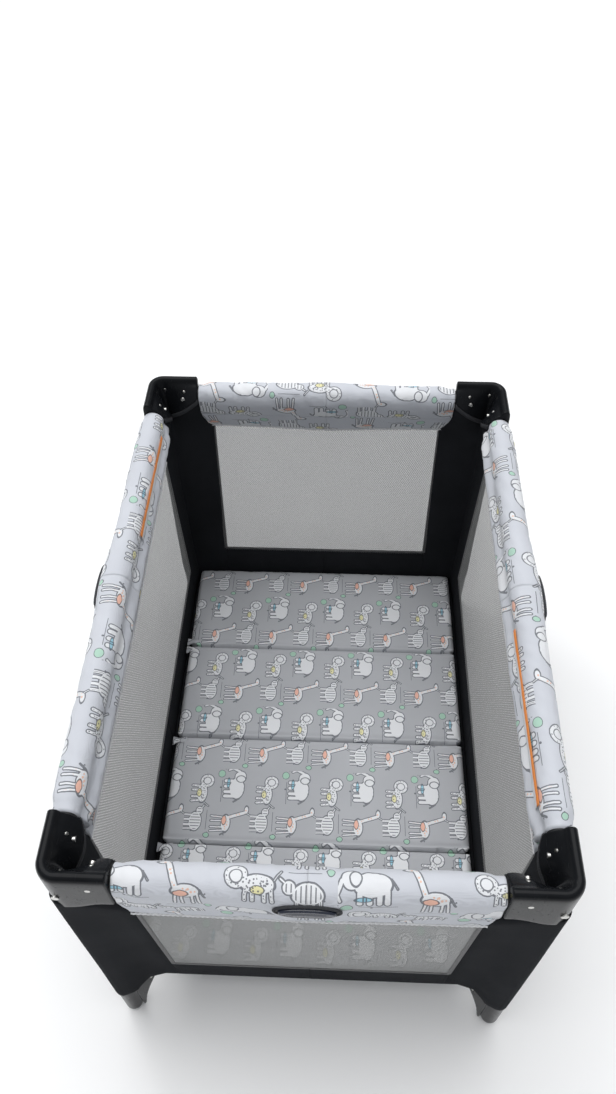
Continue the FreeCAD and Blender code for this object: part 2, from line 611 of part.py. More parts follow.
# ----------------------------------------------------------------------------- hub
def hub():
    """The centre block that the four struts swing under, its lid, pins and screws, and the strap that lifts it."""
    block = box("hub_block", ("-hub_half", "-hub_half", "hub_bottom"), ("hub_half", "hub_half", "hub_top"))
    rounded = fillet("hub_rounded", block, "hub_corner", is_upright)
    tools = [rod("hub_pocket", "hub_pocket_radius", "hub_pocket_top - hub_bottom", ("0", "0", "hub_bottom"))]
    pins = []
    for corner, (sx, sy) in CORNERS.items():
        ux, uy = strut_direction(sx, sy)
        pin = (f"{sx} * hub_pin", f"{sy} * hub_pin", "strut_level")
        tools.append(box(f"hub_channel_{corner}", ("-foot_channel_start", "-hub_channel", "hub_bottom - 1"),
                         ("hub_half", "hub_channel", "hub_roof"), (pin[0], pin[1], "0"),
                         math.degrees(math.atan2(uy, ux))))
        tools.append(cross_rod(f"hub_hole_{corner}", "pin_radius + fit_gap", "hub_pin_half_length + 0.2", pin, (-uy, ux)))
        pins.append(cross_rod(f"hub_pin_{corner}", "pin_radius", "hub_pin_half_length", pin, (-uy, ux)))
    lid = fillet("hub_lid_rounded", box("hub_lid_plate", ("-hub_lid_half", "-hub_lid_half", "hub_top"),
                                        ("hub_lid_half", "hub_lid_half", "hub_lid_top")), "hub_corner", is_upright)
    slot = box("hub_lid_slot", ("-strap_half_width - 1", "-strap_thick", "hub_top - 1"),
               ("strap_half_width + 1", "strap_thick", "hub_lid_top + 1"))
    lid_holes = [slot]
    for i, (dx, dy) in enumerate(((1, 0), (0, 1), (-1, 0), (0, -1))):
        at = (f"{dx} * screw_circle", f"{dy} * screw_circle")
        hole = rod(f"screw_{i}_hole", "screw_radius + fit_gap", "hub_lid_top - screw_bottom + 1", (*at, "screw_bottom"))
        seat = rod(f"screw_{i}_seat", "screw_head + fit_gap", "hub_lid_top", (*at, "screw_head_bottom"))
        tools.append(hole)
        lid_holes += [hole, seat]
        shank = rod(f"screw_{i}_shank", "screw_radius", "screw_head_bottom - screw_bottom", (*at, "screw_bottom"))
        head = rod(f"screw_{i}_head", "screw_head", "hub_lid_top - screw_head_bottom", (*at, "screw_head_bottom"))
        pins.append(fuse(f"screw_{i}", shank, head))
    node("hub_housing", cut("hub_body", rounded, *tools))
    node("hub_lid", cut("hub_cover", lid, *lid_holes))
    group = DOC.addObject("Part::Compound", "hub_pins")
    group.Links = pins
    node("hub_fasteners", group)
    stem = box("strap_stem", ("-strap_half_width", "-strap_thick / 2", "strap_bottom"),
               ("strap_half_width", "strap_thick / 2", "strap_level + strap_thick"))
    loop = box("strap_loop", ("-strap_half_width", "-strap_half_length", "strap_level"),
               ("strap_half_width", "strap_half_length", "strap_level + strap_thick"))
    node("pull_strap", fuse("strap", stem, loop))


# ----------------------------------------------------------------------------- mattress
def mattress():
    """Four padded boards in a row, hinged along the creases between them."""
    for i in range(4):
        low = f"-mattress_half_length + mattress_half_length * {i} / 2"
        high = f"-mattress_half_length + mattress_half_length * {i + 1} / 2"
        board = box(f"board_{i + 1}", ("-mattress_half_width", f"{low} + fold_gap", "mattress_bottom"),
                    ("mattress_half_width", f"{high} - fold_gap", "mattress_bottom + mattress_thick"))
        sides = fillet(f"board_{i + 1}_rounded", board, "mattress_edge", lambda edge: is_lower_side(edge))
        node(f"mattress_panel_{i + 1}", sides)


def is_lower_side(edge):
    """Picks the two long lower edges of a mattress board, along Y."""
    straight = isinstance(edge.Curve, Part.Line) and abs(edge.tangentAt(edge.FirstParameter).y) > 0.99
    return straight and is_at(edge, cell("mattress_bottom"))


# ----------------------------------------------------------------------------- the whole playpen
for corner, (sx, sy) in CORNERS.items():
    leg_tube(corner, sx, sy)
    corner_cap(corner, sx, sy)
    foot(corner, sx, sy)
    corner_pins(corner, sx, sy)
    floor_strut(corner, sx, sy)
    wall_fabric(corner, sx, sy)
    floor_fabric(corner, sx, sy)
for rail, layout in RAILS.items():
    for half, way in layout["halves"].items():
        rail_half(rail, half, layout["out"], way)
    rail_latch(rail, layout["out"])
hub()
mattress()
DOC.recompute()

for thing in DOC.Objects:
    if {"Invalid", "Error"} & set(thing.State):
        raise RuntimeError(f"{thing.Name} failed: {thing.State} {thing.getStatusString()}")
for name, thing in NODES.items():
    if thing.Shape.isNull() or not thing.Shape.isValid() or not thing.Shape.Solids:
        raise RuntimeError(f"{name} has no valid solid")

os.makedirs(OUT, exist_ok=True)
for name, thing in NODES.items():
    thing.Shape.exportStep(f"{OUT}/{name}.step")
    print(f"{name:32} {len(thing.Shape.Solids)} solids {thing.Shape.Volume / 1000:10.1f} cm3")
whole = Part.makeCompound([thing.Shape for thing in NODES.values()]).BoundBox
print(len(NODES), "sub-parts,", f"{whole.XLength:.1f} x {whole.YLength:.1f} x {whole.ZLength:.1f} mm")
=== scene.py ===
# %% [markdown]
# # A folding playpen, dressed around its measured frame
# The frame is a set of solid parts whose sizes are settled.  This notebook gives every part the look of
# the real thing: glossy corner caps, padded cloth rails, stretched netting, a printed folding mattress.
# Everything is in metres, and every place comes from the frame's own boxes.

# %% Load the frame
import math
import bmesh
import bpy
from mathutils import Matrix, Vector, noise


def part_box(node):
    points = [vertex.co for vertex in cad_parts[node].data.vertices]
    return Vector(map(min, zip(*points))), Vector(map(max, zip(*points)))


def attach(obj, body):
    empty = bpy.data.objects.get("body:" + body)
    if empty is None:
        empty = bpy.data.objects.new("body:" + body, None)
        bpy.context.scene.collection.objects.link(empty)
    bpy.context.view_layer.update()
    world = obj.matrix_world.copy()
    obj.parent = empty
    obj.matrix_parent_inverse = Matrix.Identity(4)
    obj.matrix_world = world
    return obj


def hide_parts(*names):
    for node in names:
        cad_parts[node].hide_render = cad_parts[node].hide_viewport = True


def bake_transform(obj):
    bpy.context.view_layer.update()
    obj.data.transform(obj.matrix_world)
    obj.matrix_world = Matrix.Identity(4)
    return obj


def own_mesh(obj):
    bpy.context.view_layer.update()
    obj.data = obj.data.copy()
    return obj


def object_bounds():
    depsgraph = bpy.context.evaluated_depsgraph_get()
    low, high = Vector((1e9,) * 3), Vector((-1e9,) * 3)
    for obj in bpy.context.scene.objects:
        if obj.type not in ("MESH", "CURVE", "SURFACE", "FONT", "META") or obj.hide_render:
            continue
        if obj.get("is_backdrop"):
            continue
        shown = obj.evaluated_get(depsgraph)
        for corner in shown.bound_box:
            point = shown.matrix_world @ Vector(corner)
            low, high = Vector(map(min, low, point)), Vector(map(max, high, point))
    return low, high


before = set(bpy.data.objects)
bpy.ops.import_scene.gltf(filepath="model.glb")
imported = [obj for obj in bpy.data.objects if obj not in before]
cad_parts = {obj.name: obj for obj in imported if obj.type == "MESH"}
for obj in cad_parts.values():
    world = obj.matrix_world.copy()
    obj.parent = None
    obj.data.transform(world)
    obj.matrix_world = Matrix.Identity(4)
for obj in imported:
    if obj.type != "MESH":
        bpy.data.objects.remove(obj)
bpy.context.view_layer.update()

scene = bpy.context.scene


# %% Where things are
def middle_of(node):
    low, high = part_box(node)
    return (low + high) / 2


CORNERS = {"front_left": (-1, -1), "front_right": (1, -1), "back_left": (-1, 1), "back_right": (1, 1)}
leg_x, leg_y = abs(middle_of("leg_tube_front_left").x), abs(middle_of("leg_tube_front_left").y)
rail_level = middle_of("front_rail_tube_left").z
cap_low, cap_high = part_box("corner_cap_front_left")
cap_top = cap_high.z
cap_out = -cap_low.x - leg_x
cap_arm = leg_x + cap_high.x
wall_low, wall_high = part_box("wall_fabric_front_left")
wall_foot = wall_low.z
bed_low, bed_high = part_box("mattress_panel_2")
print("legs at", round(leg_x, 3), round(leg_y, 3), "rails at", round(rail_level, 3))

# Each rail: which way is out, which way its halves run, how far the legs are, and its two halves.
RAILS = {
    "front": (Vector((0, -1, 0)), Vector((1, 0, 0)), leg_y, leg_x, "left", "right"),
    "left": (Vector((-1, 0, 0)), Vector((0, 1, 0)), leg_x, leg_y, "front", "back"),
    "back": (Vector((0, 1, 0)), Vector((-1, 0, 0)), leg_y, leg_x, "right", "left"),
    "right": (Vector((1, 0, 0)), Vector((0, -1, 0)), leg_x, leg_y, "back", "front"),
}


def on_rail(rail, along, out, up):
    """A point by its distance along a rail from the middle, out from its axis, and above its axis."""
    outward, way, reach, _, _, _ = RAILS[rail]
    return outward * (reach + out) + way * along + Vector((0, 0, rail_level + up))


def corner_of(rail, half):
    return f"{rail}_{half}" if rail in ("front", "back") else f"{half}_{rail}"


# %% [markdown]
# ## Shader sums
# A finish is easiest to read as a sum.  `Link` wraps one socket, so that `1 - mask` or `a * b` adds the
# Math nodes, and `Recipe.node` adds any other node: its type, its settings, then its sockets.

# %% Link and Recipe
class Link:
    """A socket that ordinary arithmetic works on."""

    def __init__(self, recipe, socket):
        self.recipe, self.socket = recipe, socket

    def __add__(self, other): return self.recipe.maths("ADD", self, other)
    def __radd__(self, other): return self.recipe.maths("ADD", other, self)
    def __sub__(self, other): return self.recipe.maths("SUBTRACT", self, other)
    def __rsub__(self, other): return self.recipe.maths("SUBTRACT", other, self)
    def __mul__(self, other): return self.recipe.maths("MULTIPLY", self, other)
    def __rmul__(self, other): return self.recipe.maths("MULTIPLY", other, self)
    def __truediv__(self, other): return self.recipe.maths("DIVIDE", self, other)
    def __lt__(self, other): return self.recipe.maths("LESS_THAN", self, other)
    def __gt__(self, other): return self.recipe.maths("GREATER_THAN", self, other)


class Recipe:
    """A node tree that is written as sums."""

    def __init__(self, tree):
        self.tree = tree

    def node(self, kind, settings=None, values=None):
        made = self.tree.nodes.new(kind)
        for key, value in (settings or {}).items():
            setattr(made, key, value)
        for key, value in (values or {}).items():
            if isinstance(value, Link):
                self.tree.links.new(value.socket, made.inputs[key])
            else:
                made.inputs[key].default_value = value
        return made

    def maths(self, operation, *values):
        made = self.node("ShaderNodeMath", {"operation": operation}, dict(enumerate(values)))
        return Link(self, made.outputs[0])

    def vector(self, operation, *values):
        made = self.node("ShaderNodeVectorMath", {"operation": operation}, dict(enumerate(values)))
        number = operation in ("LENGTH", "DOT_PRODUCT", "DISTANCE")
        return Link(self, made.outputs["Value" if number else "Vector"])

    def stretched(self, vector, by):
        made = self.node("ShaderNodeVectorMath", {"operation": "SCALE"}, {0: vector, "Scale": by})
        return Link(self, made.outputs["Vector"])

    def mix(self, share, a, b):
        made = self.node("ShaderNodeMix", {"data_type": "RGBA"}, {0: share, 6: a, 7: b})
        return Link(self, made.outputs[2])

    def place(self, kind="Object"):
        return Link(self, self.node("ShaderNodeTexCoord").outputs[kind])

    def parts(self, vector):
        made = self.node("ShaderNodeSeparateXYZ", None, {0: vector})
        return [Link(self, out) for out in made.outputs]

    def noise(self, vector, scale, detail=3.0):
        made = self.node("ShaderNodeTexNoise", None, {"Vector": vector, "Scale": scale, "Detail": detail})
        return Link(self, made.outputs[0])

    def cells(self, vector, scale):
        made = self.node("ShaderNodeTexVoronoi", None, {"Vector": vector, "Scale": scale})
        return Link(self, made.outputs["Distance"])

    def bump(self, height, depth, strength=1.0):
        made = self.node("ShaderNodeBump", None, {"Height": height, "Distance": depth, "Strength": strength})
        return Link(self, made.outputs[0])

    def wave(self, value, length):
        """A ripple from 0 to 1, once in every length."""
        return self.maths("SINE", value * (2 * math.pi / length)) * 0.5 + 0.5


def finish(name, fixed, changing=None):
    """A material: fixed sets the shader's sockets, changing(recipe) gives what varies over the surface."""
    material = bpy.data.materials.new(name)
    material.use_nodes = True
    shader = material.node_tree.nodes["Principled BSDF"]
    for key, value in fixed.items():
        shader.inputs[key].default_value = value
    recipe = Recipe(material.node_tree)
    for key, value in (changing(recipe) if changing else {}).items():
        material.node_tree.links.new(value.socket, shader.inputs[key])
    return material


print("shader sums ready")

# %% [markdown]
# ## Moulded plastic, paint and plated steel
# The caps are polypropylene from a polished mould: nearly black, glossy, with a faint flow texture and
# fingermarks that change the gloss.  The tubes are powder coated, which leaves a fine orange peel.

# %% Hard finishes
def cap_look(r):
    spot = r.place()
    marks = r.noise(spot, 38, 5)
    scuffs = r.noise(r.vector("MULTIPLY", spot, (260, 40, 90)), 1, 2)
    return {"Base Color": r.mix(marks, (0.004, 0.0045, 0.0055, 1), (0.011, 0.012, 0.014, 1)),
            "Roughness": 0.16 + marks * 0.14 + (scuffs > 0.66) * 0.08,
            "Normal": r.bump(r.noise(spot, 620, 2), 0.00006)}


def tube_look(r):
    spot = r.place()
    return {"Base Color": r.mix(r.noise(spot, 20), (0.008, 0.008, 0.009, 1), (0.016, 0.016, 0.018, 1)),
            "Roughness": 0.36 + r.noise(spot, 55) * 0.16,
            "Normal": r.bump(r.noise(spot, 900, 3), 0.00012)}


def steel_look(r):
    spot = r.place()
    scratches = r.noise(r.vector("MULTIPLY", spot, (2400, 300, 700)), 1, 3)
    return {"Base Color": r.mix(r.noise(spot, 130), (0.52, 0.52, 0.50, 1), (0.74, 0.73, 0.70, 1)),
            "Roughness": 0.2 + scratches * 0.28, "Normal": r.bump(scratches, 0.00004)}


def navy_look(r):
    spot = r.place()
    return {"Base Color": r.mix(r.noise(spot, 60), (0.006, 0.010, 0.024, 1), (0.014, 0.020, 0.042, 1)),
            "Roughness": 0.2 + r.noise(spot, 90) * 0.14, "Normal": r.bump(r.noise(spot, 800), 0.00005)}


def hub_look(r):
    spot = r.place()
    return {"Base Color": r.mix(r.noise(spot, 30), (0.007, 0.007, 0.008, 1), (0.018, 0.018, 0.020, 1)),
            "Roughness": 0.42 + r.noise(spot, 80) * 0.2,
            "Normal": r.bump(r.noise(spot, 1500, 2), 0.0001)}


GLOSSY = finish("glossy black plastic", {"Specular IOR Level": 0.12}, cap_look)
MATT_PLASTIC = finish("grained black plastic", {}, hub_look)
COATED = finish("powder coated steel", {}, tube_look)
PLATED = finish("zinc plated steel", {"Metallic": 1.0}, steel_look)
NAVY = finish("dark navy plastic", {"Coat Weight": 0.5, "Coat Roughness": 0.1}, navy_look)
print("hard finishes made")

# %% [markdown]
# ## Cloths
# The dark cloth is a close polyester weave, so two crossed ripples a millimetre apart give its threads.
# The netting is a warp knit: a fine slanting rib with a hole beside every thread.  The holes are too small
# to model, so the finish lets light through where they are.

# %% Dark cloth, binding, webbing and netting
def woven(r, spot, pitch):
    x, y, z = r.parts(spot)
    return r.wave(x + y, pitch) * r.wave(z + (x - y) * 0.5, pitch)


def dark_cloth(low, high):
    def look(r):
        spot = r.place()
        threads = woven(r, spot, 0.0016)
        worn = r.noise(spot, 9, 4)
        shade = r.mix(worn * 0.6 + threads * 0.4, low, high)
        return {"Base Color": shade, "Roughness": 0.74 + threads * 0.16,
                "Normal": r.bump(threads + r.noise(spot, 24) * 2.5, 0.0003)}
    return look


def netting_look(r):
    spot = r.place()
    x, y, z = r.parts(spot)
    ribs = r.wave(x + y + z * 0.55, 0.0046)
    rungs = r.wave(z - (x + y) * 0.35, 0.0031)
    holes = ribs * rungs
    shade = r.mix(r.noise(spot, 5, 3) * 0.5 + ribs * 0.5, (0.22, 0.224, 0.22, 1), (0.39, 0.394, 0.385, 1))
    return {"Base Color": shade, "Alpha": 0.92 - holes * 0.64, "Roughness": 0.7 + ribs * 0.15,
            "Normal": r.bump(ribs, 0.0004)}


def knit_look(r):
    spot = r.place()
    x, y, z = r.parts(spot)
    loops = r.wave(x + y + z, 0.0022) * r.wave(x + y - z, 0.0022)
    return {"Base Color": r.mix(loops, (0.05, 0.05, 0.052, 1), (0.26, 0.26, 0.262, 1)),
            "Roughness": 0.8 + loops * 0.1, "Normal": r.bump(loops, 0.0006)}


def webbing_look(r):
    x, y, z = r.parts(r.place())
    ribs = r.wave(x, 0.0018) * (0.5 + 0.5 * r.wave(y, 0.0012))
    return {"Base Color": r.mix(ribs, (0.010, 0.010, 0.011, 1), (0.05, 0.05, 0.052, 1)),
            "Roughness": 0.66 + ribs * 0.2, "Normal": r.bump(ribs, 0.0004)}


def thread_look(r):
    spot = r.place()
    return {"Base Color": r.mix(r.noise(spot, 300), (0.60, 0.61, 0.63, 1), (0.90, 0.90, 0.91, 1)),
            "Roughness": 0.62 + r.noise(spot, 200) * 0.2, "Normal": r.bump(r.noise(spot, 1400), 0.0003)}


def dark_thread_look(r):
    spot = r.place()
    return {"Base Color": r.mix(r.noise(spot, 300), (0.05, 0.05, 0.054, 1), (0.13, 0.13, 0.135, 1)),
            "Roughness": 0.6 + r.noise(spot, 200) * 0.2}


CHARCOAL = finish("charcoal woven cloth", {"Specular IOR Level": 0.04},
                  dark_cloth((0.011, 0.0118, 0.0138, 1), (0.033, 0.035, 0.040, 1)))
BINDING = finish("grey binding tape", {"Specular IOR Level": 0.2},
                 dark_cloth((0.030, 0.031, 0.035, 1), (0.070, 0.072, 0.078, 1)))
NETTING = finish("grey netting", {}, netting_look)
KNIT = finish("grey knitted trim", {"Sheen Weight": 0.3}, knit_look)
WEBBING = finish("black webbing", {"Sheen Weight": 0.2}, webbing_look)
THREAD = finish("white overlock thread", {}, thread_look)
DARK_THREAD = finish("dark sewing thread", {}, dark_thread_look)
print("plain cloths made")

# %% [markdown]
# ## The doodle print
# The cloth is printed with line drawings of animals: an elephant, a giraffe, a round-maned lion and a
# boxy calf, filled white with a thin ink line, with small spots of colour.  Each animal here is our own,
# built from ovals and rounded sticks.  The shader finds how far a point is from the nearest of them: less
# than nothing is inside the animal, and close to nothing is the ink line.  One tile repeats over the cloth.

# %% Animals as ovals and sticks, in millimetres
ANIMALS = {
    "elephant": ((-28, 29), [("oval", 0, 0, 20, 13), ("oval", -21, 5, 11, 10),
                             ("stick", -31, 3, -36, -8, 2.6), ("stick", -36, -8, -33, -16, 2.0),
                             ("stick", -13, -8, -13, -20, 3.4),
                             ("stick", -3, -8, -3, -20, 3.4), ("stick", 7, -8, 7, -20, 3.4),
                             ("stick", 15, -6, 15, -20, 3.4), ("stick", 19, 5, 25, -4, 0.8)]),
    "giraffe": ((33, 17), [("oval", 2, -2, 15, 8), ("stick", -8, 2, -17, 29, 3.2), ("oval", -22, 32, 7, 3.8),
                           ("stick", -16, 33, -13, 38, 1.2), ("stick", -8, -5, -10, -27, 1.8),
                           ("stick", -2, -6, -2, -27, 1.8), ("stick", 9, -6, 9, -27, 1.8),
                           ("stick", 14, -4, 16, -27, 1.8), ("stick", 17, 0, 22, -9, 0.8)]),
    "lion": ((-27, -28), [("oval", 9, -2, 18, 9), ("oval", -13, 5, 12, 12), ("stick", -3, -7, -4, -19, 2.4),
                          ("stick", 4, -8, 4, -19, 2.4), ("stick", 16, -7, 16, -19, 2.4),
                          ("stick", 23, -5, 24, -19, 2.4), ("stick", 26, 2, 33, 11, 1.1)]),
    "calf": ((31, -37), [("oval", 2, 0, 17, 11), ("oval", -17, 6, 7, 6), ("stick", -22, 10, -26, 13, 1.4),
                         ("stick", -9, -8, -9, -20, 2.4), ("stick", -1, -9, -1, -20, 2.4),
                         ("stick", 8, -9, 8, -20, 2.4), ("stick", 15, -6, 15, -20, 2.4)]),
}
TILE = (126.0, 112.0)
SPOTS = [(-37, 14, 9, 2.6, "teal"), (-54, 1, 6.5, 6.0, "mint"), (30, 12, 8, 4, "orange"),
         (-18, -35, 7, 4, "yellow"), (56, -16, 4, 5, "mint")]
INK_LINE = 0.75
THIN_LINE = 0.45
INKS = {"teal": (0.16, 0.52, 0.68, 1), "mint": (0.36, 0.66, 0.48, 1), "orange": (0.86, 0.36, 0.20, 1),
        "yellow": (0.80, 0.74, 0.28, 1)}


def oval_gap(r, spot, x, y, half_wide, half_high):
    shape = r.vector("DIVIDE", r.vector("SUBTRACT", spot, (x, y, 0)), (half_wide, half_high, 1))
    return (r.vector("LENGTH", shape) - 1) * min(half_wide, half_high)


def stick_gap(r, spot, x0, y0, x1, y1, radius):
    start, run = Vector((x0, y0, 0)), Vector((x1 - x0, y1 - y0, 0))
    from_start = r.vector("SUBTRACT", spot, tuple(start))
    share = r.maths("MAXIMUM", r.vector("DOT_PRODUCT", from_start, tuple(run / run.length_squared)), 0)
    nearest = r.stretched(tuple(run), r.maths("MINIMUM", share, 1))
    return r.vector("DISTANCE", from_start, nearest) - radius


def nearest_of(r, gaps):
    best = gaps[0]
    for gap in gaps[1:]:
        best = r.maths("MINIMUM", best, gap)
    return best


def print_group():
    """A node group: a place on the cloth in millimetres gives the white, ink and colour of the print."""
    tree = bpy.data.node_groups.new("animal print", "ShaderNodeTree")
    tree.interface.new_socket("Place", in_out="INPUT", socket_type="NodeSocketVector")
    for label in ("White", "Ink"):
        tree.interface.new_socket(label, in_out="OUTPUT", socket_type="NodeSocketFloat")
    tree.interface.new_socket("Colour", in_out="OUTPUT", socket_type="NodeSocketColor")
    tree.interface.new_socket("Coloured", in_out="OUTPUT", socket_type="NodeSocketFloat")
    r = Recipe(tree)
    place = Link(r, tree.nodes.new("NodeGroupInput").outputs[0])
    x, y, _ = r.parts(place)
    column = r.maths("FLOOR", x / TILE[0] + 0.5)
    x = r.maths("WRAP", x, TILE[0] / 2, -TILE[0] / 2)
    y = r.maths("WRAP", y + column * (TILE[1] * 0.5), TILE[1] / 2, -TILE[1] / 2)
    spot = Link(r, r.node("ShaderNodeCombineXYZ", None, {0: x, 1: y}).outputs[0])
    tremor = r.node("ShaderNodeTexNoise", None, {"Vector": spot, "Scale": 0.16, "Detail": 1.0})
    shaky = r.vector("ADD", spot, r.vector("SUBTRACT", Link(r, tremor.outputs[1]), (0.5, 0.5, 0.5)))

    gaps = {}
    for animal, ((mx, my), shapes) in ANIMALS.items():
        here = r.vector("SUBTRACT", shaky, (mx, my, 0))
        gaps[animal] = nearest_of(r, [
            oval_gap(r, here, *sizes) if kind == "oval" else stick_gap(r, here, *sizes)
            for kind, *sizes in shapes])
    gap = nearest_of(r, list(gaps.values()))
    white = gap < 0
    ear = oval_gap(r, shaky, -45, 35, 6, 8)
    face = oval_gap(r, shaky, -40, -23, 6.5, 6.5)
    drawn = nearest_of(r, [r.maths("ABSOLUTE", g) for g in (gap, ear, face)]) < INK_LINE
    stripes = (r.wave(x, 5.0) > 0.82) * (gaps["calf"] < -2.0)
    mane = (r.cells(spot, 0.36) < 0.36) * (gaps["lion"] < -1.5) * (face > 0.8)
    patches = (r.cells(spot, 0.24) < 0.34) * (gaps["giraffe"] < -1.6)
    upper_line = (r.maths("ABSOLUTE", y - 3) < THIN_LINE) * (r.maths("ABSOLUTE", x + 22) < 20)
    lower_line = (r.maths("ABSOLUTE", y + 18) < THIN_LINE) * (r.maths("ABSOLUTE", x - 30) < 17)
    lines = r.maths("MAXIMUM", upper_line, lower_line)
    dots = r.cells(spot, 0.062) < 0.10
    outside = 1 - white
    ink = r.maths("MAXIMUM", r.maths("MAXIMUM", drawn, stripes),
                  r.maths("MAXIMUM", mane, r.maths("MAXIMUM", lines, dots) * outside))
    coloured = patches
    colour = r.mix(patches, (1, 1, 1, 1), (0.84, 0.44, 0.26, 1))
    for sx, sy, half_wide, half_high, name in SPOTS:
        edge = oval_gap(r, shaky, sx, sy, half_wide, half_high)
        inside = edge < 0
        colour = r.mix(inside, colour, INKS[name])
        coloured = r.maths("MAXIMUM", coloured, inside)
        ink = r.maths("MAXIMUM", ink, r.maths("ABSOLUTE", edge) < THIN_LINE)
    out = tree.nodes.new("NodeGroupOutput")
    for label, value in (("White", white), ("Ink", ink), ("Colour", colour), ("Coloured", coloured)):
        tree.links.new(value.socket, out.inputs[label])
    return tree


PRINT = print_group()
print("print tile of", len(ANIMALS), "animals:", len(PRINT.nodes), "nodes")


# %% The printed cloths
def printed(ground_low, ground_high, coordinates, turn, scale):
    """A printed cloth: its ground colours, what places the print, its turn, and its scale."""
    def look(r):
        spot = r.place(coordinates)
        turned = Link(r, r.node("ShaderNodeMapping", None, {
            "Vector": spot, "Rotation": (0, 0, turn), "Scale": (1000 / scale,) * 3}).outputs[0])
        group = r.node("ShaderNodeGroup", {"node_tree": PRINT}, {0: turned})
        white, ink, colour, coloured = (Link(r, out) for out in group.outputs)
        object_spot = r.place()
        x, y, z = r.parts(object_spot)
        threads = r.wave(x + z * 0.7, 0.0011) * r.wave(y - z * 0.7, 0.0011)
        soft = r.noise(object_spot, 7, 4)
        ground = r.mix(soft, ground_low, ground_high)
        cloth = r.mix(white * 0.86, ground, (0.83, 0.84, 0.86, 1))
        cloth = r.mix(coloured * 0.72, cloth, colour)
        cloth = r.mix(ink * 0.85, cloth, (0.09, 0.10, 0.12, 1))
        cloth = r.mix(threads * 0.10, cloth, (0.20, 0.21, 0.23, 1))
        return {"Base Color": cloth, "Roughness": 0.72 + threads * 0.12,
                "Normal": r.bump(threads * 0.5 + r.noise(object_spot, 16, 5) * 6, 0.0005)}
    return look


RAIL_PRINT = finish("printed rail cloth", {"Sheen Weight": 0.15},
                    printed((0.56, 0.58, 0.63, 1), (0.66, 0.68, 0.73, 1), "UV", 0, 1.3))
BED_PRINT = finish("printed mattress cloth", {"Sheen Weight": 0.15},
                   printed((0.40, 0.41, 0.435, 1), (0.49, 0.50, 0.525, 1), "Object", math.pi / 2, 1.2))


def label_look(r):
    u, v, _ = r.parts(r.place("UV"))
    edge = v > 0.0385 - r.noise(r.place(), 30, 2) * 0.006
    white = r.mix(r.wave(u, 0.0008), (0.82, 0.83, 0.84, 1), (0.88, 0.89, 0.90, 1))
    return {"Base Color": r.mix(edge, white, (0.90, 0.30, 0.07, 1)),
            "Roughness": 0.5 + r.noise(r.place(), 60) * 0.2}


LABEL = finish("woven satin label", {}, label_look)
print("printed cloths made")

# %% [markdown]
# ## Making meshes
# Most pieces are lofts: rings of points joined into a skin, with closed ends.  `loft` also lays out a flat
# map in metres, along and around, so that the print is neither stretched nor cut.

# %% Mesh helpers
def piece(name, points, faces, finish_used, maps=None):
    mesh = bpy.data.meshes.new(name)
    mesh.from_pydata([tuple(p) for p in points], [], faces)
    if maps:
        layer = mesh.uv_layers.new(name="UVMap")
        for loop, uv in zip(layer.data, maps):
            loop.uv = uv
    mesh.materials.append(finish_used)
    mesh.shade_smooth()
    made = bpy.data.objects.new(name, mesh)
    scene.collection.objects.link(made)
    return made


def face_out(made):
    """Turns a closed shape's faces outwards."""
    shape = bmesh.new()
    shape.from_mesh(made.data)
    bmesh.ops.recalc_face_normals(shape, faces=shape.faces)
    shape.to_mesh(made.data)
    shape.free()
    return made


def running(points):
    total = [0.0]
    for a, b in zip(points, points[1:]):
        total.append(total[-1] + (Vector(b) - Vector(a)).length)
    return total


def loft(name, rings, finish_used, closed=True, ends=True, shift=(0, 0), flow=1):
    count, middle = len(rings[0]), rings[len(rings) // 2]
    along = [flow * s for s in running([sum((Vector(p) for p in ring), Vector()) / count for ring in rings])]
    around = running(list(middle) + [middle[0]])
    points, faces, maps = [p for ring in rings for p in ring], [], []

    def flat_place(i, j):
        return along[i] + shift[0], around[j] + shift[1]

    for i in range(len(rings) - 1):
        for j in range(count if closed else count - 1):
            k = (j + 1) % count
            faces.append((i * count + j, i * count + k, (i + 1) * count + k, (i + 1) * count + j))
            maps += [flat_place(i, j), flat_place(i, j + 1), flat_place(i + 1, j + 1), flat_place(i + 1, j)]
    if closed and ends:
        last = (len(rings) - 1) * count
        faces += [tuple(range(count)), tuple(last + j for j in reversed(range(count)))]
        maps += [flat_place(0, j) for j in range(count)]
        maps += [flat_place(-1, j) for j in reversed(range(count))]
    made = piece(name, points, faces, finish_used, maps)
    return face_out(made) if closed and ends else made


def settled(made, *modifiers):
    """Adds modifiers, keeps what they make as a plain mesh, and removes them."""
    for kind, settings in modifiers:
        modifier = made.modifiers.new(kind.lower(), kind)
        for key, value in settings.items():
            setattr(modifier, key, value)
    graph = bpy.context.evaluated_depsgraph_get()
    mesh = bpy.data.meshes.new_from_object(made.evaluated_get(graph), depsgraph=graph)
    made.modifiers.clear()
    made.data = mesh
    mesh.shade_smooth()
    return made


def copy_of(node, name, finish_used):
    """A copy of a frame part's mesh, with its loose triangles joined up."""
    shape = bmesh.new()
    shape.from_mesh(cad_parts[node].data)
    bmesh.ops.remove_doubles(shape, verts=shape.verts, dist=0.00002)
    mesh = bpy.data.meshes.new(name)
    shape.to_mesh(mesh)
    shape.free()
    mesh.materials.clear()
    mesh.materials.append(finish_used)
    made = bpy.data.objects.new(name, mesh)
    scene.collection.objects.link(made)
    return made


def smooth_curve(controls, count):
    """Points of a smooth closed line through the controls (Catmull-Rom)."""
    found, n = [], len(controls)
    for i in range(count):
        at = i * n / count
        k, t = int(at), at - int(at)
        a, b, c, d = (Vector(controls[(k + m) % n]) for m in (-1, 0, 1, 2))
        found.append(0.5 * ((2 * b) + (c - a) * t + (2 * a - 5 * b + 4 * c - d) * t * t
                            + (3 * b - a - 3 * c + d) * t ** 3))
    return found


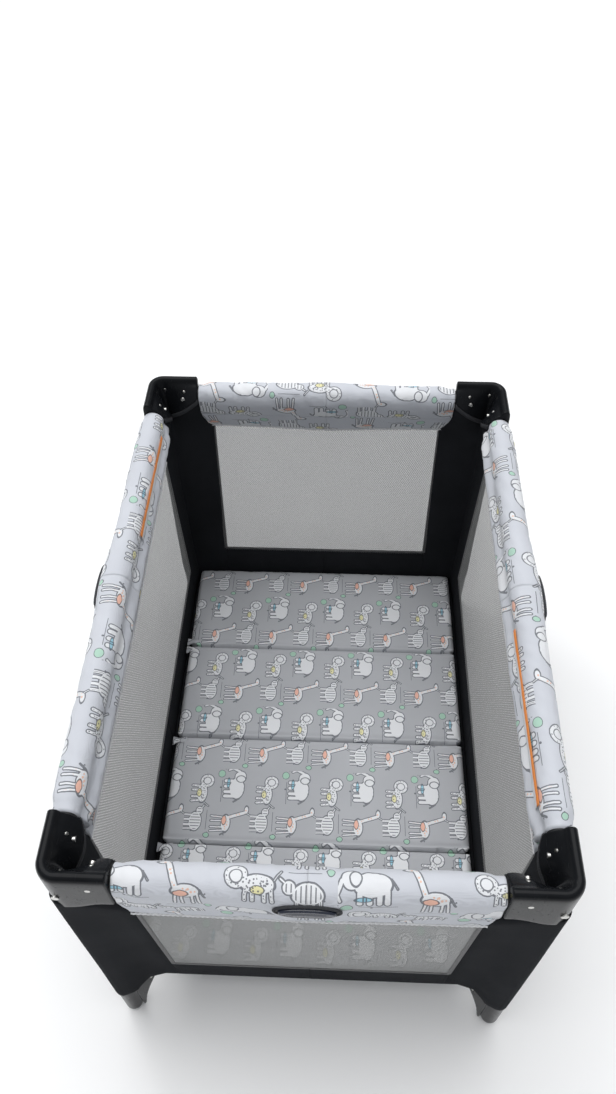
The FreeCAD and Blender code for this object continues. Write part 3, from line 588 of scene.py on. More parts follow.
def ease(value):
    value = min(1, max(0, value))
    return value * value * (3 - 2 * value)


print("mesh helpers ready")

# %% [markdown]
# ## Corner caps
# Each cap is a moulded scoop over the corner: an upright outer skin, a thick rolled rim, and a dish that
# falls away to a lip inside the pen.  It could be carved from a block, but its section changes smoothly
# along an L-shaped path, so one section is swept along that path instead.

# %% One cap, swept round its corner
CAP_BEND = 0.030
CAP_RIM = [(0, 0.700), (0, 0.724), (0.0012, 0.7295), (0.0045, 0.7335), (0.0090, 0.735), (0.0135, 0.7335),
           (0.0165, 0.7295)]
LIP_REACH = [(0, 0.0130), (0.2, 0.0200), (0.4, 0.0265), (0.6, 0.0282), (0.8, 0.0262), (1.0, 0.0215)]
LIP_START = 0.0155


def between(table, at):
    """A value read from a short table, with straight lines between its rows."""
    for (a, low), (b, high) in zip(table, table[1:]):
        if at <= b:
            return low + (high - low) * (at - a) / (b - a)
    return table[-1][1]


def cap_lip(f):
    """The inner lip, from the corner (0) to an arm's end (1): along, across, and height."""
    return LIP_START + (cap_arm - LIP_START) * f, between(LIP_REACH, f), 0.6560 + 0.0500 * f ** 0.85


def cap_stations():
    """(outer point, inner point, lip height, skirt height) along the path, inwards from the leg axis."""
    found, bend = [], CAP_BEND - cap_out
    steps = 14
    for i in range(steps + 1):
        f = 1 - i / steps
        a, b, lip = cap_lip(f)
        found.append(((bend + (cap_arm - bend) * f, -cap_out), (a, b), lip, 0.630 + 0.018 * ease(f * 1.3)))
    for i in range(1, 12):
        q = i / 12
        angle = -math.pi / 2 - q * math.pi / 2
        outer = (bend + CAP_BEND * math.cos(angle), bend + CAP_BEND * math.sin(angle))
        lean = abs(q - 0.5) * 2
        found.append((outer, (0.0142 + 0.0013 * (1 - 2 * q), 0.0142 - 0.0013 * (1 - 2 * q)),
                      0.6545 + 0.0015 * lean, 0.623 + 0.007 * lean))
    return found + [((b, a), (d, c), z, s) for (a, b), (c, d), z, s in reversed(found[:steps + 1])]


def cap_section(outer, inner, lip, skirt):
    way = Vector(inner) - Vector(outer)
    width = way.length
    way = way / width
    start = 0.0185
    dish = []
    for t in (0.0, 0.18, 0.38, 0.6, 0.8, 0.93):
        drop = (0.725 - lip) * (t ** 1.25)
        dish.append((start + (width - start) * t, 0.725 - drop))
    lips = [(width, lip + 0.0005), (width + 0.0012, lip - 0.002), (width, lip - 0.005),
            (width - 0.003, lip - 0.005)]
    under = [(d - 0.001, z - 0.0042) for d, z in reversed(dish[1:5])]
    under += [(0.0125, 0.7225), (0.0055, 0.7185), (0.0032, 0.705), (0.0030, skirt + 0.003), (0.0024, skirt)]
    skin = [(0.0004, skirt), (0, skirt + 0.002)] + CAP_RIM + dish + lips + under
    return [(outer[0] + way.x * d, outer[1] + way.y * d, z) for d, z in skin]


def corner_place(corner, point):
    """A point given inwards from a leg axis, turned to its corner."""
    sx, sy = CORNERS[corner]
    return Vector((sx * (leg_x - point[0]), sy * (leg_y - point[1]), point[2]))


caps = {}
for corner in CORNERS:
    rings = [[corner_place(corner, p) for p in cap_section(*station)] for station in cap_stations()]
    cap = loft(f"cap_shell_{corner}", rings, GLOSSY)
    settled(cap, ("SUBSURF", {"levels": 2, "render_levels": 2}))
    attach(cap, f"leg_{corner}")
    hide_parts(f"corner_cap_{corner}")
    caps[corner] = cap
print("caps", len(caps), "faces each", len(cap.data.polygons))

# %% [markdown]
# ## Feet
# The feet are solid horn-shaped mouldings.  The frame's feet have the right shape but hard edges, and a
# real moulding's edges are rounded, so a fine remesh followed by smoothing rounds them all at once.

# %% Feet
for corner in CORNERS:
    foot = copy_of(f"foot_{corner}", f"foot_moulding_{corner}", GLOSSY)
    settled(foot, ("REMESH", {"mode": "VOXEL", "voxel_size": 0.0019}),
            ("SMOOTH", {"factor": 0.6, "iterations": 5}))
    foot.data.materials.clear()
    foot.data.materials.append(GLOSSY)
    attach(foot, f"leg_{corner}")
    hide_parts(f"foot_{corner}")
print("feet of", len(foot.data.polygons), "faces")

# %% [markdown]
# ## Rail covers
# Printed cloth is wrapped over foam and tube, and pulled down to a seam with the netting.  Its section is
# a teardrop: round over the rail and tapering below.  Each rail folds at its latch, so each half has its
# own cover.

# %% The teardrop section, and its wrinkles
DROP = [(0.0210, -0.045), (0.0240, -0.029), (0.0258, -0.010), (0.0242, 0.008), (0.0150, 0.0200),
        (0.0005, 0.0243), (-0.0130, 0.0200), (-0.0222, 0.008), (-0.0238, -0.009), (-0.0180, -0.028),
        (-0.0090, -0.045)]
COVER_GAP = 0.082       # from a leg's axis to the end of its covers
COVER_RINGS = 84
LONG_SIDE_FLARE = 0.00315


def crumple(point, seed, size):
    """A slow sag with finer slanting creases on it."""
    p = Vector(point)
    slow = noise.noise(p * 9 + Vector((seed, 0, 0)))
    crease = abs(noise.noise(Vector(((p.x + p.y) * 34 + p.z * 22, (p.x - p.y) * 9, p.z * 30 + seed))))
    fine = noise.noise(p * 95 + Vector((0, seed, 0)))
    return size * (slow * 0.9 - crease * 1.5 + fine * 0.28)


def seam_dip(along):
    """How much lower the seam hangs around the latch."""
    return 0.0075 * math.exp(-(along / 0.11) ** 2)


def cover_foot_in(rail):
    """Where the cover's inner side ends below: further in on the long sides, where it hangs straight."""
    return -0.0090 if rail in ("front", "back") else -0.0185


def drop_ring(rail, along, length, seed):
    from_end = length - abs(along)
    snug = 1 - 0.16 * (1 - ease(from_end / 0.035)) - 0.05 * math.exp(-((from_end - 0.012) / 0.005) ** 2)
    bulge = 0.0055 * math.exp(-(along / 0.075) ** 2)
    ring = []
    foot_in, (above_in, above_up) = cover_foot_in(rail), DROP[-2]
    if rail in ("left", "right"):
        above_in += foot_in + LONG_SIDE_FLARE
    outline = DROP[:-2] + [(above_in, above_up), (foot_in, DROP[-1][1])]
    for out, up, _ in smooth_curve([(a, b, 0) for a, b in outline], 44):
        swell = bulge * ease((out + 0.004) / 0.020)
        base = on_rail(rail, along, out * snug + swell, up if up < -0.03 else up * snug)
        push = crumple(base, seed, 0.0016) * ease((up + 0.046) / 0.012)
        middle = on_rail(rail, along, 0.002, -0.008)
        away = (base - middle).normalized()
        hold = 1 - 0.9 * math.exp(-(along / 0.050) ** 2) * (1 if out > 0 else 0)
        ring.append(base + away * push * hold)
    return ring


def cover_length(rail):
    return RAILS[rail][3] - COVER_GAP


def print_start(seed):
    """Where on the print a rail's cloth is cut, so that no two rails are alike."""
    return 0.37 * seed, 0.03 * seed


seed = 1.0
cloth_start = {}
for rail, (outward, way, reach, half_length, first, second) in RAILS.items():
    for half, side in ((first, -1), (second, 1)):
        length = cover_length(rail)
        places = [side * length * i / COVER_RINGS for i in range(COVER_RINGS + 1)]
        rings = [drop_ring(rail, s, length, seed) for s in places]
        cover = loft(f"{rail}_rail_cover_{half}", rings, RAIL_PRINT, shift=print_start(seed), flow=side)
        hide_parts(f"{rail}_rail_pad_{half}")
        ends = (on_rail(rail, side * 0.055, 0, 0), on_rail(rail, side * 0.008, 0, 0))
        if side < 0:
            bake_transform(cover)
        else:
            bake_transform(cover)
    cloth_start[rail] = print_start(seed)
    seed += 1
print("covers on", len(RAILS), "rails")

# %% Collars: the bare dark sleeves between a cap and its cover
# Each row: how far it is from the leg's axis, and the sleeve's radius there.
COLLAR = [(0.074, 0.0122), (0.0745, 0.0148), (0.078, 0.0158), (0.090, 0.0158), (0.0955, 0.0150),
          (0.0975, 0.0125)]

for rail, (outward, way, reach, half_length, first, second) in RAILS.items():
    for half, side in ((first, -1), (second, 1)):
        rings = []
        for from_leg, radius in COLLAR:
            s = side * (half_length - from_leg)
            rings.append([on_rail(rail, s, radius * math.cos(t), radius * math.sin(t))
                          for t in (math.tau * i / 28 for i in range(28))])
        collar = loft(f"{rail}_rail_collar_{half}", rings, MATT_PLASTIC)
        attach(collar, f"rail_{rail}_{half}")
print("collars made")

# %% [markdown]
# ## Release buttons
# A domed navy oval sits in a raised ring at the middle of every rail.  A dome is a stack of ovals that
# shrink as they rise, so it is lofted, and so is the ring of piped cloth around it.

# %% Buttons and their piped openings
def oval_ring(rail, half_long, half_high, out, level, count=56):
    return [on_rail(rail, half_long * math.cos(t), out, level + half_high * math.sin(t))
            for t in (math.tau * i / count for i in range(count))]


BUTTON_HALF_LONG = 0.039
BUTTON_DOME = [(0.0006, 0.0006, -0.0120), (0, 0, -0.0115), (0, 0, -0.0040), (0.0006, 0.0006, -0.0024),
               (0.0022, 0.0020, -0.0012), (0.0050, 0.0042, -0.0010), (0.0064, 0.0052, -0.0016),
               (0.0085, 0.0064, -0.0014), (0.0130, 0.0082, -0.0004), (0.0210, 0.0102, 0.0001),
               (0.0300, 0.0120, 0.0003)]
PIPING_GAP, PIPING_HALF, PIPING_OUT = 0.0055, 0.0024, 0.0315

for rail in RAILS:
    low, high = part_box(f"{rail}_release_button")
    level = (low.z + high.z) / 2 - rail_level
    face = max(abs(low.x), abs(high.x)) if rail in ("left", "right") else max(abs(low.y), abs(high.y))
    face -= RAILS[rail][2]
    half_high = (high.z - low.z) / 2
    rings = [oval_ring(rail, BUTTON_HALF_LONG - a, half_high - b, face + c, level) for a, b, c in BUTTON_DOME]
    button = loft(f"{rail}_button_face", rings, NAVY)
    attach(button, f"button_{rail}")
    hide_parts(f"{rail}_release_button")

    rings, ring_long, ring_high = [], BUTTON_HALF_LONG + PIPING_GAP, half_high + PIPING_GAP
    for i in range(72):
        t = math.tau * i / 72
        middle = Vector((math.cos(t) * ring_long, math.sin(t) * ring_high))
        away = Vector((math.cos(t) / ring_long, math.sin(t) / ring_high)).normalized() * PIPING_HALF
        rings.append([on_rail(rail, middle.x + away.x * math.cos(q), PIPING_OUT + 0.0020 * math.sin(q),
                              level + middle.y + away.y * math.cos(q))
                      for q in (math.tau * k / 10 for k in range(10))])
    piping = loft(f"{rail}_button_piping", rings + [rings[0]], BINDING, ends=False)
    settled(face_out(piping), ("WELD", {"merge_threshold": 0.0001}))
    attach(piping, f"latch_{rail}")
print("buttons made")

# %% [markdown]
# ## Walls
# The walls are sewn panels: netting in the middle, charcoal cloth at the corners and foot, a knitted trim
# where they meet, and the printed cloth's two layers closing on the top seam.  They hang from a line near
# the rails and lean in to the floor.  Real walls crumple as the frame folds; here each half rides on the
# leg at its corner.

# %% Where the wall cloth is
SEAM = {"front": (-0.094, 0.0150), "back": (-0.094, 0.0150),
        "left": (-0.106, -0.0100), "right": (-0.106, -0.0100)}
FOOT_UP, FOOT_OUT = wall_foot - rail_level, -0.0235
BAND_TOP = 0.226 - rail_level
WINDOW_EDGE = {"front": 0.242, "back": 0.242, "left": 0.400, "right": 0.400}
GATHER_SLANT = math.radians(15)


def wall_out(rail, up):
    """How far out from the rail axis the wall is, at a height above that axis."""
    seam_up, seam_out = SEAM[rail]
    return FOOT_OUT + (seam_out - FOOT_OUT) * (min(up, seam_up) - FOOT_UP) / (seam_up - FOOT_UP)


def folds_with(made, rail, half):
    """Rides on the leg at its corner."""
    outward, way, _, half_length, first, _ = RAILS[rail]
    side = -1 if half == first else 1
    corner = corner_of(rail, half)
    axis = way * side * math.cos(GATHER_SLANT) - outward * math.sin(GATHER_SLANT)
    anchor = on_rail(rail, side * half_length, 0, -0.3)
    keep = 0.25 if half_length == leg_x else 0.18
    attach(made, f"leg_{corner}")
    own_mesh(made)


def sheet_grid(name, rail, side, start, stop, low_up, high_up, finish_used, columns, rows,
               off=0.0, wave=0.0, seed=0):
    """A flat panel on the wall's slope, with a slow ripple that dies out at its edges and at the fold."""
    points, faces, maps = [], [], []
    for j in range(rows + 1):
        up = low_up + (high_up - low_up) * j / rows
        for i in range(columns + 1):
            s = side * (start + (stop - start) * i / columns)
            base = on_rail(rail, s, wall_out(rail, up) + off, up)
            calm = min(1, 4 * (j / rows) * (1 - j / rows)) * ease(abs(s) / 0.08) * ease((stop - abs(s)) / 0.03)
            ripple = noise.noise(Vector((s * 7, up * 5, seed))) * wave * calm
            points.append(base + RAILS[rail][0] * ripple)
    for j in range(rows):
        for i in range(columns):
            a = j * (columns + 1) + i
            faces.append((a, a + 1, a + columns + 2, a + columns + 1))
            maps += [(x / columns * abs(stop - start), y / rows * (high_up - low_up))
                     for x, y in ((i, j), (i + 1, j), (i + 1, j + 1), (i, j + 1))]
    made = piece(name, points, faces, finish_used, maps)
    for_outward = made.data.polygons[0].normal.dot(RAILS[rail][0])
    if for_outward < 0:
        made.data.flip_normals()
    return made


# %% Netting, dark foot band and knitted trim
TRIM_SECTION = [(-1, 0.0006), (-0.8, 0.0013), (0.8, 0.0013), (1, 0.0006), (1, -0.0006), (0.8, -0.0013),
                (-0.8, -0.0013), (-1, -0.0006)]

for rail, (outward, way, reach, half_length, first, second) in RAILS.items():
    for half, side in ((first, -1), (second, 1)):
        edge = WINDOW_EDGE[rail]
        tall = SEAM[rail][0] - BAND_TOP
        net = sheet_grid(f"{rail}_netting_{half}", rail, side, 0, edge, BAND_TOP - 0.004,
                         SEAM[rail][0] + 0.004, NETTING, 48, 44, wave=0.004, seed=seed)
        folds_with(net, rail, half)
        band = sheet_grid(f"{rail}_foot_band_{half}", rail, side, 0, edge + 0.002, FOOT_UP, BAND_TOP,
                          CHARCOAL, 48, 12, off=0.0004, wave=0.0015, seed=seed + 9)
        settled(band, ("SOLIDIFY", {"thickness": 0.0016, "offset": 0.0}))
        edge + 0.002
        folds_with(band, rail, half)
        for label, run in (("foot", [(i / 40 * edge, BAND_TOP) for i in range(41)]),
                           ("side", [(edge, BAND_TOP + i / 40 * tall) for i in range(41)])):
            rings = []
            for s, up in run:
                flat = Vector((0, 0.0032)) if label == "foot" else Vector((0.0038, 0))
                rings.append([on_rail(rail, side * (s + flat.x * a), wall_out(rail, up) + b, up + flat.y * a)
                              for a, b in TRIM_SECTION])
            trim = loft(f"{rail}_knit_{label}_{half}", rings, KNIT)
            folds_with(trim, rail, half)
        seed += 1
print("netting and bands made")

# %% Printed skirts under the covers, and their overlocked edge
for rail, (outward, way, reach, half_length, first, second) in RAILS.items():
    for half, side in ((first, -1), (second, 1)):
        length = cover_length(rail)
        rings, hem = [], []
        for i in range(73):
            s = side * length * i / 72
            ring = []
            seam_up, seam_out = SEAM[rail]
            foot_at = seam_up - seam_dip(s)
            inner_top = cover_foot_in(rail) + 0.0008
            for t in (1.0, 0.93, 0.8, 0.6, 0.4, 0.2, 0):
                up = -0.0435 + (foot_at + 0.0435) * t
                ring.append((0.0202 + (seam_out + 0.0016 - 0.0202) * t, up))
            for t in (0, 0.2, 0.4, 0.6, 0.8, 0.93, 1.0):
                up = -0.0435 + (foot_at + 0.0435) * t
                ring.append((inner_top + (seam_out - 0.0016 - inner_top) * t, up))
            points = []
            for out, up in ring:
                slanted = s * (1 - 0.010 / length * ease((-up - 0.043) / 0.055))
                base = on_rail(rail, slanted, out, up)
                free = ease((-0.0435 - up) / 0.015) * (1 - 0.6 * ease((-up - 0.075) / 0.02))
                points.append(base + outward * crumple(base, seed, 0.0022) * free)
            rings.append(points)
        begin = cloth_start[rail]
        skirt = loft(f"{rail}_skirt_{half}", rings, RAIL_PRINT, shift=(begin[0], begin[1] - 0.051), flow=side)
        folds_with(skirt, rail, half)
        rings = []
        for i in range(241):
            s = side * (length - 0.010) * i / 240
            bob = 0.0009 * math.sin(s * 900) + 0.0012 * noise.noise(Vector((s * 40, seed, 0)))
            up = SEAM[rail][0] - seam_dip(s) - 0.0022 + bob
            rings.append([on_rail(rail, s, SEAM[rail][1] + 0.0034 * math.cos(q), up + 0.0026 * math.sin(q))
                          for q in (math.tau * k / 8 for k in range(8))])
        edge = loft(f"{rail}_overlock_{half}", rings, THREAD)
        folds_with(edge, rail, half)
    seed += 1
print("skirts made")

# %% [markdown]
# ## Corner pockets
# At every corner two charcoal panels meet in a seam inside the pen, and pass round the leg outside, so
# that the leg stands in a pocket.  In plan that is one closed line, lofted from the foot to the cap.

# %% Pockets round the legs
POCKET_LEVELS = 30
POCKET_RADIUS = 0.0190
POCKET_SEAM = 0.0165    # how far in from the leg its two inner panels meet
HALF_CLOTH = 0.0011
KNEE_SHARE = 0.86       # the share of its levels below the top seam's height


def pocket_top(a):
    """Where the panel's top edge is, a given way along from the leg: across, and height."""
    if a <= cap_arm:
        f = max(0, (a - LIP_START) / (cap_arm - LIP_START))
        _, across, lip = cap_lip(f)
        return across - 0.0012, lip - 0.004
    f = min(1, (a - cap_arm) / 0.020)
    return 0.0200 - 0.028 * f, 0.700 - 0.050 * f * f


def pocket_points(corner, share):
    """The pocket's closed outline, from foot (0) to top (1).  The inner side's top follows the cap."""
    reach_x, reach_y = leg_x - WINDOW_EDGE["front"] + 0.001, leg_y - WINDOW_EDGE["left"] + 0.001
    knee = rail_level + SEAM["front"][0]
    points = []

    def inside(t, reach, rail):
        """Along, across and height of the inner panel, from its window edge (t = 0) to the seam (t = 1)."""
        top_a = reach + (LIP_START - reach) * t
        across_top, height = pocket_top(top_a)
        if share > KNEE_SHARE:
            f = (share - KNEE_SHARE) / (1 - KNEE_SHARE)
            z_low = min(knee, height)
            slack = -wall_out(rail, knee - rail_level) + HALF_CLOTH
            seam = POCKET_SEAM
            a = reach + (seam - reach) * t
            b = slack + (seam - slack) * t
            return a + (top_a - a) * f, b + (across_top - b) * f, z_low + (height - z_low) * f
        z = wall_foot + (knee - wall_foot) * share / KNEE_SHARE
        slack = -wall_out(rail, z - rail_level) + HALF_CLOTH
        seam = max(slack + 0.003, POCKET_SEAM)
        return reach + (seam - reach) * t, slack + (seam - slack) * t, z

    for i in range(14):
        points.append(inside(i / 13, reach_x, "front"))
    for i in range(12, -1, -1):
        a, b, z = inside(i / 13, reach_y, "left")
        points.append((b, a, z))
    z = wall_foot + (0.640 - wall_foot) * share
    radius = POCKET_RADIUS
    outer_x = -wall_out("left", z - rail_level) - HALF_CLOTH
    outer_y = -wall_out("front", z - rail_level) - HALF_CLOTH
    drop = max(0, z - knee)
    for t in (0, 0.3, 0.6, 0.85):
        points.append((outer_x + (-radius - outer_x) * ease((t - 0.45) / 0.55),
                       reach_y + (0.006 - reach_y) * t, z - drop * (1 - t)))
    for i in range(9):
        angle = math.pi + i / 8 * math.pi / 2
        points.append((radius * math.cos(angle), radius * math.sin(angle), z))
    for t in (0.85, 0.6, 0.3, 0):
        points.append((reach_x + (0.006 - reach_x) * t,
                       outer_y + (-radius - outer_y) * ease((t - 0.45) / 0.55), z - drop * (1 - t)))
    found = []
    sx, sy = CORNERS[corner]
    for a, b, z in points:
        push = noise.noise(Vector((a * 22, b * 22, z * 6 + seed))) * 0.0009
        found.append(corner_place(corner, (a, b, z)) + Vector((-sx * a, -sy * b, 0)).normalized() * push)
    return found


for corner in CORNERS:
    rings = [pocket_points(corner, i / POCKET_LEVELS) for i in range(POCKET_LEVELS + 1)]
    pocket = loft(f"corner_pocket_{corner}", rings, CHARCOAL)
    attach(pocket, f"leg_{corner}")
    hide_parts(f"wall_fabric_{corner}")
    seed += 1

# %% [markdown]
# ## The mattress
# Four padded boards fold on each other.  Foam and cloth swell a little between their seams, which is what
# a cloth simulation with air pressure inside gives.  One panel is blown up and used four times, and the
# creases come after it.

# %% One panel, inflated
def inflated(made, most):
    """Blows a closed cloth up a little.  most is the furthest that a point may move along each axis."""
    before = [v.co.copy() for v in made.data.vertices]
    modifier = made.modifiers.new("cloth", "CLOTH")
    settings = modifier.settings
    settings.quality = 5
    settings.mass = 0.3
    settings.tension_stiffness = settings.compression_stiffness = 20
    settings.use_pressure = True
    settings.uniform_pressure_force = 4
    settings.effector_weights.gravity = 0
    modifier.point_cache.frame_start, modifier.point_cache.frame_end = 1, 20
    for moment in range(1, 21):
        scene.frame_set(moment)
    graph = bpy.context.evaluated_depsgraph_get()
    mesh = bpy.data.meshes.new_from_object(made.evaluated_get(graph), depsgraph=graph)
    made.modifiers.clear()
    made.data = mesh
    for vertex, old in zip(mesh.vertices, before):
        vertex.co = [start + min(max(now - start, -limit), limit)
                     for now, start, limit in zip(vertex.co, old, most)]
    scene.frame_set(1)
    return made


PANEL_SHRINK = 0.0022
PANEL_SWELL = (0.0012, 0.0012, 0.005)
panel = copy_of("mattress_panel_2", "mattress_form", BED_PRINT)
panel_middle = (bed_low + bed_high) / 2
panel_half = (bed_high - bed_low) / 2
for vertex in panel.data.vertices:
    for axis in range(3):
        away = vertex.co[axis] - panel_middle[axis]
        vertex.co[axis] -= math.copysign(min(PANEL_SHRINK, abs(away)), away)
settled(panel, ("REMESH", {"mode": "VOXEL", "voxel_size": 0.006}))
inflated(panel, PANEL_SWELL)
settled(panel, ("SMOOTH", {"factor": 0.5, "iterations": 2}), ("SUBSURF", {"levels": 1, "render_levels": 1}))
panel.data.materials.clear()
panel.data.materials.append(BED_PRINT)
print("panel of", len(panel.data.polygons), "faces")

# %% Four panels with their own creases
FOLD_REACH = 0.012      # how near a fold the cover is drawn level with its neighbour
for number in range(1, 5):
    node = f"mattress_panel_{number}"
    low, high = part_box(node)
    step = (low + high) / 2 - panel_middle
    mesh = panel.data.copy()
    made = bpy.data.objects.new(f"mattress_cushion_{number}", mesh)
    scene.collection.objects.link(made)
    for vertex in mesh.vertices:
        p = vertex.co + step
        side = min(abs(p.y - low.y), abs(high.y - p.y))
        near_fold = math.exp(-(side / 0.030) ** 2)
        pucker = abs(noise.noise(Vector((p.x * 46, side * 12, number)))) * 0.0018 * near_fold
        slow = noise.noise(Vector((p.x * 6, p.y * 7, number))) * 0.0011
        if p.z > panel_middle.z:
            p.z += slow - pucker - 0.0016 * math.exp(-(side / (FOLD_REACH / 2)) ** 2)
        inner_fold = (number > 1 and p.y - low.y < FOLD_REACH) or (number < 4 and high.y - p.y < FOLD_REACH)
        if inner_fold and p.z > high.z - 0.010:
            p.z += (high.z - 0.0007 - p.z) * (1 - ease((side - FOLD_REACH / 2) / (FOLD_REACH / 2)))
        if inner_fold and side < 0.004:
            p.y = low.y if p.y - low.y < 0.004 else high.y
        p.z = min(max(p.z, low.z), high.z + 0.0020)
        for axis in (0, 1):
            p[axis] = min(max(p[axis], low[axis] + 0.0001), high[axis] - 0.0001)
        vertex.co = p
    mesh.shade_smooth()
    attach(made, f"mattress_{number}")
    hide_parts(node)
bpy.data.objects.remove(panel)
print("mattress made")

# %% Pull tabs at the panels' left edge
TAB_SECTION = [(-1, 0), (-0.8, 0.9), (0, 1.1), (0.8, 0.9), (1, 0), (0.8, -0.9), (0, -1), (-0.8, -0.9)]

for number in (1, 2, 3, 4):
    low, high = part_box(f"mattress_panel_{number}")
    y = high.y if number < 4 else low.y + 0.02
    rings = []
    for i in range(13):
        t = i / 12
        x = low.x + 0.030 * (1 - t) - 0.002
        thick = 0.0022 - 0.0008 * math.sin(math.pi * t)
        half = 0.010 * (0.75 + 0.25 * math.cos(math.pi * t * 2))
        z = high.z + 0.0035 * math.sin(math.pi * min(1, t * 1.1)) - 0.001
        rings.append([Vector((x, y - 0.012 + half * a, z + thick * b)) for a, b in TAB_SECTION])
    tab = loft(f"mattress_tab_{number}", rings, BED_PRINT)
    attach(tab, f"mattress_{number}")
print("tabs made")

# %% [markdown]
# ## Floor cloth, strap and the hidden frame
# Under the mattress a dark cloth closes the floor, held along each strut.  The strap that lifts the hub
# lies over it.  They are seen only from below and as a dark gap round the bed, so they stay simple.

# %% Floor cloth
for corner, (sx, sy) in CORNERS.items():
    low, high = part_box(f"floor_fabric_{corner}")
    level = (low.z + high.z) / 2
    far_x, far_y = leg_x + FOOT_OUT + 0.0006, leg_y + FOOT_OUT + 0.0006
    points, faces, count = [], [], 24
    for j in range(count + 1):
        for i in range(count + 1):
            x, y = far_x * i / count, far_y * j / count
            sag = noise.noise(Vector((x * 9 * sx, y * 9 * sy, 3.3))) * 0.0004
            points.append((sx * x, sy * y, level + sag))
    for j in range(count):
        for i in range(count):
            a = j * (count + 1) + i
            faces.append((a, a + 1, a + count + 2, a + count + 1))
    cloth = piece(f"floor_cloth_{corner}", points, faces, CHARCOAL)
    if cloth.data.polygons[0].normal.z < 0:
        cloth.data.flip_normals()
    settled(cloth, ("SOLIDIFY", {"thickness": 0.0008, "offset": 0.0}))
    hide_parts(f"floor_fabric_{corner}")
    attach(cloth, f"strut_{corner}")
    strut = Vector((sx * leg_x, sy * leg_y, 0)).normalized()
    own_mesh(cloth)
print("floor cloth made")

# %% Pull strap
strap = copy_of("pull_strap", "strap_webbing", WEBBING)
settled(strap, ("REMESH", {"mode": "VOXEL", "voxel_size": 0.0008}),
        ("SMOOTH", {"factor": 0.5, "iterations": 3}), ("DECIMATE", {"ratio": 0.25}))
strap.data.materials.clear()
strap.data.materials.append(WEBBING)
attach(strap, "pull_strap")
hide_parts("pull_strap")
print("strap of", len(strap.data.polygons), "faces")

# %% Frame parts that stay, with better finishes
KEPT = {"leg_tube": COATED, "floor_strut": COATED, "rail_tube": COATED, "latch_housing": MATT_PLASTIC,
        "hub_housing": MATT_PLASTIC, "hub_lid": MATT_PLASTIC, "hub_fasteners": PLATED, "corner_pins": PLATED}
repainted = 0
for node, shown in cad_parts.items():
    for word, finish_used in KEPT.items():
        if word in node:
            for place_in in shown.material_slots:
                place_in.material = finish_used
            repainted += 1
print("repainted", repainted, "frame parts")

# %% [markdown]
# ## Small repeated things
# Screws and stitches are made by Geometry Nodes: a head or a stitch is modelled once, and set at every
# point or along every line.  The trees end in real geometry, so that nothing is lost in an export.

# %% Trees for screw heads and for stitches
def new_tree(name, sizes):
    tree = bpy.data.node_groups.new(name, "GeometryNodeTree")
    tree.interface.new_socket("Geometry", in_out="INPUT", socket_type="NodeSocketGeometry")
    for label, value in sizes.items():
        tree.interface.new_socket(label, in_out="INPUT", socket_type="NodeSocketFloat").default_value = value
    tree.interface.new_socket("Geometry", in_out="OUTPUT", socket_type="NodeSocketGeometry")
    return Recipe(tree), tree.nodes.new("NodeGroupInput"), tree.nodes.new("NodeGroupOutput")


def stitch_tree():
    """Small rounded stitches, evenly along the edges of a line."""
    r, given, out = new_tree("stitches along a line", {"Length": 0.004, "Gap": 0.0062, "Radius": 0.0005})
    line = r.node("GeometryNodeMeshToCurve", None, {0: Link(r, given.outputs["Geometry"])})
    spaced = r.node("GeometryNodeResampleCurve", {"mode": "LENGTH"}, {
        "Curve": Link(r, line.outputs[0]), "Length": Link(r, given.outputs["Gap"])})
    ball = r.node("GeometryNodeMeshUVSphere", None, {"Segments": 6, "Rings": 4, "Radius": 1.0})
    size = r.node("ShaderNodeCombineXYZ", None, {
        0: Link(r, given.outputs["Radius"]), 1: Link(r, given.outputs["Radius"]),
        2: Link(r, r.node("ShaderNodeMath", {"operation": "MULTIPLY"}, {
            0: Link(r, given.outputs["Length"]), 1: 0.5}).outputs[0])})
    way = r.node("GeometryNodeInputTangent")
    turn = r.node("FunctionNodeAlignEulerToVector", {"axis": "Z"}, {"Vector": Link(r, way.outputs[0])})
    put = r.node("GeometryNodeInstanceOnPoints", None, {
        "Points": Link(r, spaced.outputs[0]), "Instance": Link(r, ball.outputs[0]),
        "Rotation": Link(r, turn.outputs[0]), "Scale": Link(r, size.outputs[0])})
    real = r.node("GeometryNodeRealizeInstances", None, {0: Link(r, put.outputs[0])})
    painted = r.node("GeometryNodeSetMaterial", None, {0: Link(r, real.outputs[0])})
    r.tree.links.new(painted.outputs[0], out.inputs[0])
    return r.tree, painted


def screw_tree():
    """A plain round head, standing along each point's normal."""
    r, given, out = new_tree("screw heads on points", {"Radius": 0.003, "Height": 0.0014})
    head = r.node("GeometryNodeMeshCylinder", None, {"Vertices": 20, "Side Segments": 2,
                                                      "Radius": Link(r, given.outputs["Radius"]),
                                                      "Depth": Link(r, given.outputs["Height"])})
    normal = r.node("GeometryNodeInputNormal")
    turn = r.node("FunctionNodeAlignEulerToVector", {"axis": "Z"}, {"Vector": Link(r, normal.outputs[0])})
    put = r.node("GeometryNodeInstanceOnPoints", None, {
        "Points": Link(r, given.outputs["Geometry"]), "Instance": Link(r, head.outputs[0]),
        "Rotation": Link(r, turn.outputs[0])})
    real = r.node("GeometryNodeRealizeInstances", None, {0: Link(r, put.outputs[0])})
    painted = r.node("GeometryNodeSetMaterial", None, {0: Link(r, real.outputs[0])})
    r.tree.links.new(painted.outputs[0], out.inputs[0])
    return r.tree, painted


